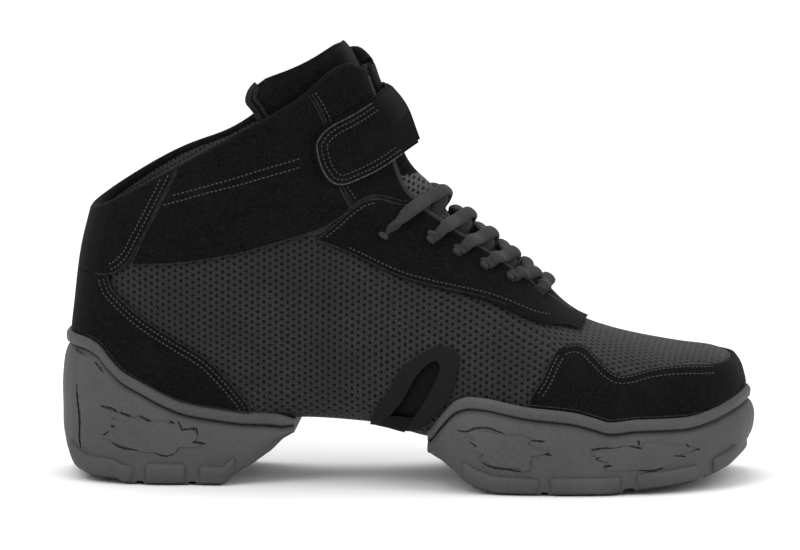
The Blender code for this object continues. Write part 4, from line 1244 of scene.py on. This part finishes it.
def stroke_plan(outline):
    """Plan of a thin cut along an open line, pointed at its ends."""
    line = [np.array(spot) for spot in plan_of(outline, closed=False)]
    left = []
    right = []
    for k, spot in enumerate(line):
        way = line[min(k + 1, len(line) - 1)] - line[max(k - 1, 0)]
        way = way / np.linalg.norm(way)
        share = k / (len(line) - 1)
        swell = 0.15 + 0.85 * math.sin(math.pi * share) ** 0.5
        half = STROKE_WIDTH / 2 * swell * (1 + 0.35 * math.sin(2.3 * k))
        left.append(tuple(spot + half * np.array([-way[1], way[0]])))
        right.append(tuple(spot - half * np.array([-way[1], way[0]])))
    return left + right[::-1]


def side_band(tree, box, side, low, high):
    """Solid layer along a unit's side, seen from the side, between two offsets from it."""
    sign = SIDES[side]
    xs = np.arange(box[0][0], box[1][0], BAND_STEP)
    zs = np.arange(box[0][1], box[1][1], BAND_STEP)
    last = 0.03
    outer = np.empty((len(xs), len(zs), 3))
    inner = np.empty((len(xs), len(zs), 3))
    for i, x in enumerate(xs):
        for j, z in enumerate(zs):
            spot = tree.ray_cast(Vector((x, sign * BALL_WIDTH, z)), Vector((0.0, -sign, 0.0)))[0]
            last = abs(spot.y) if spot is not None else last
            outer[i, j] = (x, sign * (last + high), z)
            inner[i, j] = (x, sign * (last + low), z)
    return fix_facing(slab("band", outer, inner))


def side_box(plans):
    """Corners of the side-view box round some plans."""
    spots = np.array([spot for plan in plans for spot in plan])
    return spots.min(axis=0) - 0.001, spots.max(axis=0) + 0.001


def torn_relief(unit, skin):
    """Ragged raised sheets on both sides of a unit, and strokes cut round them."""
    mesh = skin.data
    faces = [face.vertices for face in mesh.polygons]
    tree = BVHTree.FromPolygons([spot.co for spot in mesh.vertices], faces)
    plans = [metres(plan) for plan in unit["torn"]]
    strokes = [stroke_plan(line) for line in unit["strokes"]]
    sheets = []
    for side in SIDES:
        for plan in plans:
            sheet = side_band(tree, side_box([plan]), side, -STROKE_DEPTH, TORN_RISE)
            boolean(sheet, "INTERSECT", prism(plan, side))
            sheets.append(sheet)
        cuts = side_band(tree, side_box(strokes), side, -STROKE_DEPTH, 3 * TORN_RISE)
        boolean(cuts, "INTERSECT", join("bars", [prism(plan, side) for plan in strokes]))
        boolean(skin, "DIFFERENCE", cuts)
    return sheets


def make_unit(unit, tree, look, under):
    """Rubber unit with its lugs, in place of its solid; its low faces that look down get darker rubber as
    painted shade.
    """
    skin = unit_skin(unit, tree)
    parts = [skin] + torn_relief(unit, skin)
    for lug in unit["lugs"]:
        for side in SIDES:
            parts.append(lug_block(unit, tree, side, lug))
    made = join(unit["name"] + "_rubber", parts)
    dress(made, look, angle=50.0)
    # Second material: darker rubber as painted shade on low faces that look down, where the shadow under the
    # unit falls
    made.data.materials.append(under)
    for face in made.data.polygons:
        if face.normal.z < -SHADE_UNDER_FACING and face.center.z < SHADE_UNDER_TOP:
            face.material_index = 1
    stand_in(made, "rubber", unit["name"])


def make_body(looks):
    """Knit skin and lining of the upper, open at the collar, the throat and the arch slots."""
    rows = section_rows(0.0, RIM_ROW)
    slot = plan_of(ARCH_SLOT)
    for name, low, high, look, box in (
        ("knit_body", -KNIT_SKIN, 0.0, "knit", ["upper"]),
        ("lining", None, -KNIT_SKIN - 0.00005, "lining", []),
    ):
        def depth(u):
            return -wall_thickness(u) if low is None else low
        outer = with_toe(surface(rows, columns, lambda u: high), high)
        inner = with_toe(surface(rows, columns, depth), depth(0.0))
        thing = slab(name, outer, inner)
        for side in SIDES:
            boolean(thing, "DIFFERENCE", prism(slot, side))
        dress(thing, looks[look], angle=35.0)
        stand_in(thing, look, *box)


def edge_line(first, last, column, offset):
    """Points along an edge column of the upper, moved out by the offset."""
    rows = section_rows(first, last)
    return surface(rows, lambda u: np.array([columns(u)[column]]), lambda u: offset)[:, 0]


def make_edges(looks):
    """Rolled rims of the collar and the throat."""
    work = bmesh.new()
    sides = columns(RIM_ROW)
    across = np.linspace(sides[0], sides[-1], COLLAR_POINTS)
    middle = (OVERLAY + GAP - wall_thickness(COLLAR_ROW)) / 2
    points = surface([RIM_ROW], lambda u: across, lambda u: middle)[0]
    radius = (wall_thickness(COLLAR_ROW) + OVERLAY + GAP) / 2
    tube_mesh(work, points, [radius] * len(points), sides=16)
    cord_piece("collar_roll", work, looks["suede"], "suede")
    work = bmesh.new()
    for column in (0, -1):
        line = edge_line(THROAT_ROW + 0.1, RIM_ROW, column, 0.0)
        tube_mesh(work, line, [BINDING_RADIUS] * len(line), sides=12)
    cord_piece("throat_binding", work, looks["binding"], "trim")


def make_insole(looks):
    """Foot bed with a soft top."""
    rows = section_rows(*INSOLE_ROWS)
    first = SIDE_COLUMNS - 3
    last = SIDE_COLUMNS + BASE_COLUMNS + 3

    def bed(extra):
        return surface(rows, columns, lambda u: -(wall_thickness(u) + GAP + extra))[:, first:last + 1]

    thing = slab("foot_bed", bed(0.0), bed(INSOLE))
    dress(thing, looks["lining"], bevel=0.0008)
    stand_in(thing, "lining", "insole")


MESH_BULGE = 0.0042
MESH_BULGE_AT = 0.113
MESH_BULGE_SPAN = 0.008
MESH_TOP = 0.121
PIPING_FROM = 16.6
PIPING_RADIUS = 0.0015
PIPING_RADIUS_INNER = 0.0007


def make_tongue(looks):
    """Padded tongue: suede over its top, knit over its lower front, a rolled rim."""
    rows = np.arange(TONGUE_ROWS[0], TONGUE_ROWS[-1] + 0.01, 0.1)

    def across(u):
        run = section(u)[1]
        half = BALL_WIDTH * float(spline(*zip(*TONGUE_SHAPE), u))
        side = half * np.linspace(0.0, 1.0, 25)
        return np.concatenate([(run[0] + side)[::-1], (run[-1] - side)[1:]])

    high = smooth((rows - TILT_ROW) / (rows[-1] - TILT_ROW))

    def sheet(extra):
        grid = surface(rows, across, lambda u: -(wall_thickness(u) + TONGUE_GAP + extra))[:, ::-1]
        grid[:, :, 2] += TONGUE_TILT * high[:, None] * np.linspace(-1.0, 1.0, grid.shape[1])[None, :]
        return grid

    outer = sheet(0.0)
    inner = sheet(TONGUE)
    part = np.linspace(-1.0, 1.0, outer.shape[1])[None, :, None]
    row = ((rows - rows[0]) / (rows[-1] - rows[0]))[:, None, None]
    pad = smooth((row - 0.45) / 0.3) * smooth((1.0 - row) / 0.06)
    rim = (1 - np.abs(part) ** 6) ** 0.5
    middle = (outer + inner) / 2
    outer = middle + (outer - middle) * (0.35 + 0.65 * rim) * (1 + 0.35 * pad * rim)
    inner = middle + (inner - middle) * (0.35 + 0.65 * rim) * (1 + 0.25 * pad * rim)
    bulge = np.exp(-(((outer[:, :, 2:] - MESH_BULGE_AT) / MESH_BULGE_SPAN) ** 2)) * (1 - part ** 2)
    bulge = bulge * np.array([MESH_BULGE, 0.0, 0.3 * MESH_BULGE])
    outer = outer + bulge
    inner = inner + bulge
    thing = slab("tongue_pad", outer, inner)
    dress(thing, looks["suede"], bevel=0.0010)
    thing.data.materials.append(looks["tongue_mesh"])
    for face in thing.data.polygons:
        if face.center.z < MESH_TOP:
            face.material_index = 1
    stand_in(thing, "suede", "tongue")
    first = int(np.argmin(np.abs(rows - PIPING_FROM)))
    work = bmesh.new()
    for column, inset in ((0, 1), (-1, -2)):
        edge = (outer[first:-1, column] + inner[first:-1, column]) / 2
        second = outer[first:-2, inset]
        for line, radius, sides in ((edge, PIPING_RADIUS, 10), (second, PIPING_RADIUS_INNER, 8)):
            tube_mesh(work, line, [radius] * len(line), sides=sides, up=Vector((0.0, 1.0, 0.0)))
    cord_piece("tongue_piping", work, looks["piping"], "suede")


def turned_ring(name, profile, spot, direction, sides):
    """Solid turned round a direction, from its closed profile of radius and height."""
    turn = direction.to_track_quat("Z", "Y")
    count = len(profile)
    points = []
    for k in range(sides):
        angle = 2 * math.pi * k / sides
        for radius, rise in profile:
            points.append(spot + turn @ Vector((radius * math.sin(angle), radius * math.cos(angle), rise)))
    faces = []
    for k in range(sides):
        other = (k + 1) % sides
        for n in range(count):
            m = (n + 1) % count
            faces.append((k * count + n, other * count + n, other * count + m, k * count + m))
    return fix_facing(new_object(name, points, faces))


def make_eyelets(tree, looks):
    """Rolled metal rings in the holes of the eyestay."""
    seat = 2 * GAP + OVERLAY
    profile = rounded([
        (EYELET_BORE, seat + 0.6 * EYELET_HEAD),
        (EYELET_BORE, seat - EYELET_DEPTH),
        (EYELET_BORE + EYELET_TUBE, seat - EYELET_DEPTH),
        (EYELET_BORE + EYELET_TUBE, seat),
        (EYELET_BORE + EYELET_TUBE + EYELET_FLANGE, seat - GAP),
        (EYELET_BORE + EYELET_TUBE + 0.9 * EYELET_FLANGE, seat + 0.6 * EYELET_HEAD),
        (EYELET_BORE + 0.5 * EYELET_TUBE + 0.5 * EYELET_FLANGE, seat + EYELET_HEAD),
    ])
    for number, (along, up) in enumerate(EYELETS, 1):
        for side in SIDES:
            spot, direction = on_side(tree, along, up, side)
            thing = turned_ring(f"ring_{side}_{number}", profile, spot, direction, 32)
            dress(thing, looks["metal"], angle=60.0)
            stand_in(thing, "metal", f"eyelet_{side}_{number}")


def over_tongue(tree, start, end, t):
    """Point over the throat between two eyelets, and the outward direction there."""
    spot, out = tree.ray_cast(start.lerp(end, t) - LACING_UP * LACE_REACH, LACING_UP)[:2]
    return spot, -out if out.dot(LACING_UP) < 0 else out


def lace_run(tree, first, second, rise):
    """Points of one lace: out of its eyelet, over the tongue, under the edge and to the next eyelet."""
    start, out_start = on_side(tree, *first)
    end, out_end = on_side(tree, *second)
    way = (end - start).normalized()
    points = [start - out_start * 0.0026 - way * 0.0030, start + out_start * 0.0010 + way * 0.0002]
    for k in range(1, 15):
        t = 0.06 + 0.85 * k / 14
        spot, out = over_tongue(tree, start, end, t)
        fall = float(smooth((t - 0.08) / 0.26))
        hump = rise * math.exp(-((t - 0.5) / 0.13) ** 2)
        under = -0.0042 * float(smooth((t - 0.60) / 0.14))
        points.append(spot + out * (LACE_LIFT * (1 - fall) + 0.0009 * fall + hump + under))
    points.append(end - out_end * 0.0042)
    points.append(end - out_end * 0.0010)
    return points


def lace_tube(name, points, look):
    """Woven tubular lace along smooth points."""
    line = rounded([tuple(point) for point in points], closed=False)
    line = resample(line, 0.0009)
    size = len(line)
    radii = []
    for k in range(size):
        ends = 1.0 - 0.46 * math.exp(-((k / 6.5) ** 2)) - 0.42 * math.exp(-(((size - 1 - k) / 5.0) ** 2))
        radii.append(LACE_RADIUS * 1.34 * ends * (1.0 + 0.05 * math.sin(k * 0.55) * math.sin(k * 0.13)))
    work = bmesh.new()
    tube_mesh(work, line, radii, sides=16, squash=0.56, up=LACING_UP)
    return dress(from_work(name, work), look, angle=60.0)


def make_laces(tree, looks):
    """Crossed laces between the eyelets and the bar over the lowest pair."""
    lowest = EYELETS[-1]
    start, out_start = on_side(tree, *lowest, "lateral")
    end, out_end = on_side(tree, *lowest, "medial")
    points = [start - out_start * 0.004, start + out_start * 0.0005]
    for k in range(1, 12):
        t = k / 12
        spot, out = over_tongue(tree, start, end, t)
        fall = float(smooth((min(t, 1 - t) - 0.06) / 0.3))
        points.append(spot + out * (LACE_LIFT * (1 - fall) + 0.0016 * fall))
    points += [end + out_end * 0.0005, end - out_end * 0.004]
    stand_in(lace_tube("lace_bar_cord", points, looks["lace"]), "lace", "lace_bar")
    for number, (pair, below) in enumerate(zip(EYELETS, EYELETS[1:]), 1):
        cords = []
        for side, other, rise in (("lateral", "medial", 0.0030), ("medial", "lateral", 0.0)):
            run = lace_run(tree, (*pair, side), (*below, other), rise)
            cords.append(lace_tube(f"cord_{number}_{side}", run, looks["lace"]))
        pair_piece = join(f"lace_cross_{number}_cords", cords)
        dress(pair_piece, looks["lace"], angle=60.0)
        stand_in(pair_piece, "lace", f"lace_crossing_{number}")


def rim_highlight_cords(work, tree, plan, side, lift):
    """Napped cut edge of a panel with a painted highlight: a fine light cord along its outline."""
    hits = [on_plan(tree, x, z, side) for x, z in resample(plan + plan[:1], LINE_STEP)]
    line = [spot + out * lift if spot and abs(out.y) > EDGE_FACING else None for spot, out in
            (hit or (None, None) for hit in hits)]
    for first, second in zip(line, line[1:]):
        if first and second and WELD < (second - first).length < EDGE_GAP:
            tube_mesh(work, [first, second], [EDGE_CORD] * 2, sides=6)


def make_panels(tree, looks):
    """Suede panels, trims and gussets, with their stitching."""
    toe = plan_of(above_rim(TOE_CAP_EDGE, FORE_RIM))
    counter = plan_of(above_rim(COUNTER_EDGE, HEEL_RIM))
    suede = looks["suede"]
    # Lighter suede for the bevelled rims and the edge cords: napped cut edge with a painted highlight
    edge = looks["edge"]
    stand_in(overlay("toe_wing", toe, "both", (0.0, 9.0), suede, rim=edge), "suede", "toe_cap")
    piece = overlay("counter_wrap", counter, "both", (10.5, RIM_ROW), suede, rim=edge)
    stand_in(piece, "suede", "heel_counter")
    back = plan_of(BACK_PANEL)
    stand_in(overlay("back_wrap", back, "both", (12.0, RIM_ROW), suede, rim=edge), "suede", "back_panel")
    stay = plan_of(EYESTAY)
    piece = overlay("eyestay_wrap", stay, "both", (6.0, 15.75), suede, rim=edge)
    stand_in(piece, "suede", "eyestay")
    panel = plan_of(COLLAR_PANEL)
    ear = plan_of(COLLAR_EAR)
    trim = plan_of([(a, u - TRIM_DROP if u < TRIM_LOW else u) for a, u in ARCH_TRIM])
    slot = plan_of(ARCH_SLOT)
    under = overlay(
        "seam_tape", plan_of(SEAM_TAPE), "both", (10.5, RIM_ROW), looks["binding"],
        low=0.00005, high=GAP + 0.0004, bevel=0.0,
    )
    stand_in(under, "suede")
    work = bmesh.new()
    top = GAP + OVERLAY + 0.1 * THREAD
    for side in SIDES:
        name = f"collar_panel_{side}"
        stand_in(overlay(name + "_wrap", panel, side, (11.25, RIM_ROW), suede, rim=edge), "suede", name)
        name = f"collar_ear_{side}"
        stand_in(overlay(name + "_wrap", ear, side, (11.25, RIM_ROW), suede, rim=edge), "suede", name)
        band = overlay(f"trim_{side}", trim, side, (8.25, 12.0), looks["trim"], high=GAP + TRIM)
        boolean(band, "DIFFERENCE", prism(slot, side))
        dress(band, looks["trim"])
        stand_in(band, "trim", f"arch_trim_{side}")
        web = overlay(
            f"gusset_{side}", slot, side, (8.25, 12.0), looks["stretch"],
            low=-WALL, high=GUSSET - WALL, bevel=0.0,
        )
        stand_in(web, "stretch", f"arch_gusset_{side}")
        # Very dark sheet over the trim under each arch slot: painted shade of the open recess, no real part
        foot = overlay(
            f"slot_shade_sheet_{side}", plan_of(SLOT_SHADE_SHEET), side, (8.25, 12.0), looks["stretch"],
            high=GAP + TRIM + 0.0001, bevel=0.0,
        )
        stand_in(foot, "stretch")
        for margin in SEAM_MARGINS:
            stitch(work, tree, row_of(toe, 1, 14, margin), side, top)
            stitch(work, tree, row_of(counter, 1, 9, margin), side, top)
            stitch(work, tree, row_of(back, 1, 7, margin), side, top)
        stitch(work, tree, row_of(stay, 1, 10, SEAM_MARGINS[0]), side, top)
        stitch(work, tree, row_of(stay, 11, 15, SEAM_MARGINS[0]), side, top)
        stitch(work, tree, row_of(ear, 0, 5, SEAM_MARGINS[0]), side, top)
        for row in (PANEL_ROW_UPPER, PANEL_ROW_LOWER):
            stitch(work, tree, plan_of(row, closed=False), side, top)
    cord_piece("seam_threads", work, looks["thread"], "lace")
    # Light cords on the panels' cut edges where the side faces sideways: painted highlight on the nap
    work = bmesh.new()
    for side in SIDES:
        for plan in (toe, counter, back, stay, panel, ear):
            rim_highlight_cords(work, tree, plan, side, GAP + OVERLAY - EDGE_CORD / 2)
    cord_piece("panel_rim_highlights", work, looks["edge"], "suede")


EDGE_CORD = 0.0003
EDGE_GAP = 0.004
EDGE_FACING = 0.66
# Side-view outline, in shares, of the dark sheet under each arch slot: painted shade of the recess
SLOT_SHADE_SHEET = shares(482, 173, 520, 173, 511, 150, 503, 128, 455, 128, 468, 150)
TRIM_LOW = 0.175
TRIM_DROP = 0.028
SEAM_TAPE = shares(
    -35, 512, 75, 512, 100, 545, 170, 556, 245, 574, 318, 606, 378, 606, 403, 640, 428, 668, 460, 676, 500,
    668, 560, 690, 560, 1050, 370, 1050, 350, 940, 200, 930, 168, 830, -35, 830,
)
PANEL_ROW_UPPER = shares(159, 699, 214, 725, 281, 757, 348, 789)
PANEL_ROW_LOWER = shares(145, 675, 214, 708, 281, 737, 348, 768)


def make_strap(tree, looks):
    """Ankle strap over the ears, with its stitched border."""
    plan = plan_of(STRAP_EDGE)
    low = 2 * GAP + OVERLAY
    strap = overlay(
        "strap_band", plan, "both", (12.0, RIM_ROW), looks["suede"],
        low=low + 0.0010, high=low + STRAP, runs=over_front, bevel=0.0005, rim=looks["edge"],
    )
    stand_in(strap, "suede", "ankle_strap")
    backing = overlay(
        "strap_backing", shrink(plan, -0.0011), "both", (12.0, RIM_ROW), looks["suede"],
        low=low, high=low + 0.0009, runs=over_front, bevel=0.0003, rim=looks["edge"],
    )
    stand_in(backing, "suede")
    work = bmesh.new()
    for side in SIDES:
        for margin in (0.0018, 0.0038):
            line = shrink(plan, margin)
            stitch(work, tree, line[:6 * OUTLINE_STEPS + 1], side, low + STRAP, EDGE_FACING)
            stitch(work, tree, line[9 * OUTLINE_STEPS:] + line[:1], side, low + STRAP, EDGE_FACING)
    cord_piece("strap_threads", work, looks["thread"], "lace")
    # Light cords on the strap's cut edge: painted highlight on the napped edge
    work = bmesh.new()
    for side in SIDES:
        rim_highlight_cords(work, tree, plan, side, low + STRAP - EDGE_CORD / 2)
    cord_piece("strap_rim_highlights", work, looks["strap_highlight"], "suede")


def make_stage():
    """Pale floor, soft lights, white surroundings and the camera."""
    floor = new_object("floor", [(-4, -4, 0), (4, -4, 0), (4, 4, 0), (-4, 4, 0)], [(0, 1, 2, 3)])
    floor.data.materials.append(floor_look())
    world = bpy.data.worlds.new("studio")
    world.use_nodes = True
    background = world.node_tree.nodes["Background"]
    background.inputs[0].default_value = (1.0, 1.0, 1.0, 1.0)
    background.inputs[1].default_value = 0.95
    bpy.context.scene.world = world
    aim = Vector((-0.07, 0.0, 0.06))
    for place, size, power in (
        ((-0.55, -0.75, 0.85), 0.7, 4.5),
        ((0.75, -0.55, 0.75), 0.8, 2.6),
        ((-0.1, 0.3, 1.2), 0.9, 5.5),
    ):
        light = bpy.data.lights.new("softbox", "AREA")
        light.shape = "DISK"
        light.size = size
        light.energy = power
        lamp = link("softbox", light)
        lamp.location = place
        lamp.rotation_euler = (aim - Vector(place)).to_track_quat("-Z", "Y").to_euler()
    turn = math.radians(CAMERA_TURN)
    tilt = math.radians(CAMERA_TILT)
    right = Vector((math.cos(turn), math.sin(turn), 0.0))
    up = Vector((-math.sin(tilt) * math.sin(turn), math.sin(tilt) * math.cos(turn), math.cos(tilt)))
    back = right.cross(up)
    centre = right * (-190 * PIXEL) + up * (202 * PIXEL)
    camera = bpy.data.cameras.new("camera")
    camera.type = "ORTHO"
    camera.ortho_scale = 800 * PIXEL
    camera.clip_end = 20.0
    eye = link("camera", camera)
    eye.location = centre + back * 1.6
    eye.rotation_euler = back.to_track_quat("Z", "Y").to_euler()
    bpy.context.scene.camera = eye
    bpy.context.scene.view_settings.view_transform = "Standard"


def main():
    """Dress every solid and set the studio."""
    looks = {
        "suede": suede_look("suede_nap"),
        # Napped cut edges of the suede, painted lighter as a highlight
        "edge": suede_look("suede_edge_painted_highlight", 0.016),
        # Cut edge of the strap, painted much lighter as a highlight
        "strap_highlight": suede_look("strap_cord_painted_highlight", 0.045),
        "knit": knit_look("knit_mesh", 0.0185, 0.0009),
        "lining": knit_look("lining_mesh", 0.05, 0.02, pitch=0.0019, depth=0.0003),
        "tongue_mesh": knit_look("tongue_mesh", 0.06, 0.004, pitch=0.0021),
        "piping": suede_look("piping_cloth", 0.012),
        "rubber": rubber_look("rubber_grain"),
        # Darker rubber used only as painted shade on the units' downward faces
        "under": rubber_look("rubber_painted_under_shade", 0.02),
        "trim": cloth_look("smooth_trim", 0.0048),
        "binding": cloth_look("throat_tape", 0.024),
        # Black stretch web, darkened further as painted shade of the deep slot; also the painted shade sheet
        "stretch": cloth_look("stretch_web_and_painted_shade", 0.0006, sheen=0.0),
        "lace": cloth_look("lace_weave", 0.030, scale=0.0006, sheen=0.05),
        "thread": cloth_look("sewing_thread", 0.075, scale=0.0002),
        "metal": metal_look("eyelet_metal"),
    }
    tree = hull_grid()
    heel = {
        "name": "outsole_heel", "turn": HEEL_TURN, "end": HEEL_END, "centre": 0.0,
        "rim": HEEL_RIM, "floor": HEEL_FLOOR, "lugs": HEEL_LUGS, "treads": HEEL_TREADS,
        "torn": HEEL_TORN, "strokes": HEEL_STROKES,
        "turns": np.linspace(0.0, 2.0, 110),
    }
    fore = {
        "name": "outsole_forefoot", "turn": TOE_TURN, "end": FORE_END, "centre": 0.033 * BALL_WIDTH,
        "rim": FORE_RIM, "floor": FORE_FLOOR, "lugs": FORE_LUGS, "treads": FORE_TREADS,
        "torn": FORE_TORN, "strokes": FORE_STROKES,
        "turns": np.linspace(0.0, 2.0, 130),
    }
    make_stage()
    for unit in (heel, fore):
        make_unit(unit, tree, looks["rubber"], looks["under"])
    make_body(looks)
    make_edges(looks)
    make_insole(looks)
    make_tongue(looks)
    make_panels(tree, looks)
    make_strap(tree, looks)
    make_eyelets(tree, looks)
    make_laces(tree, looks)


main()
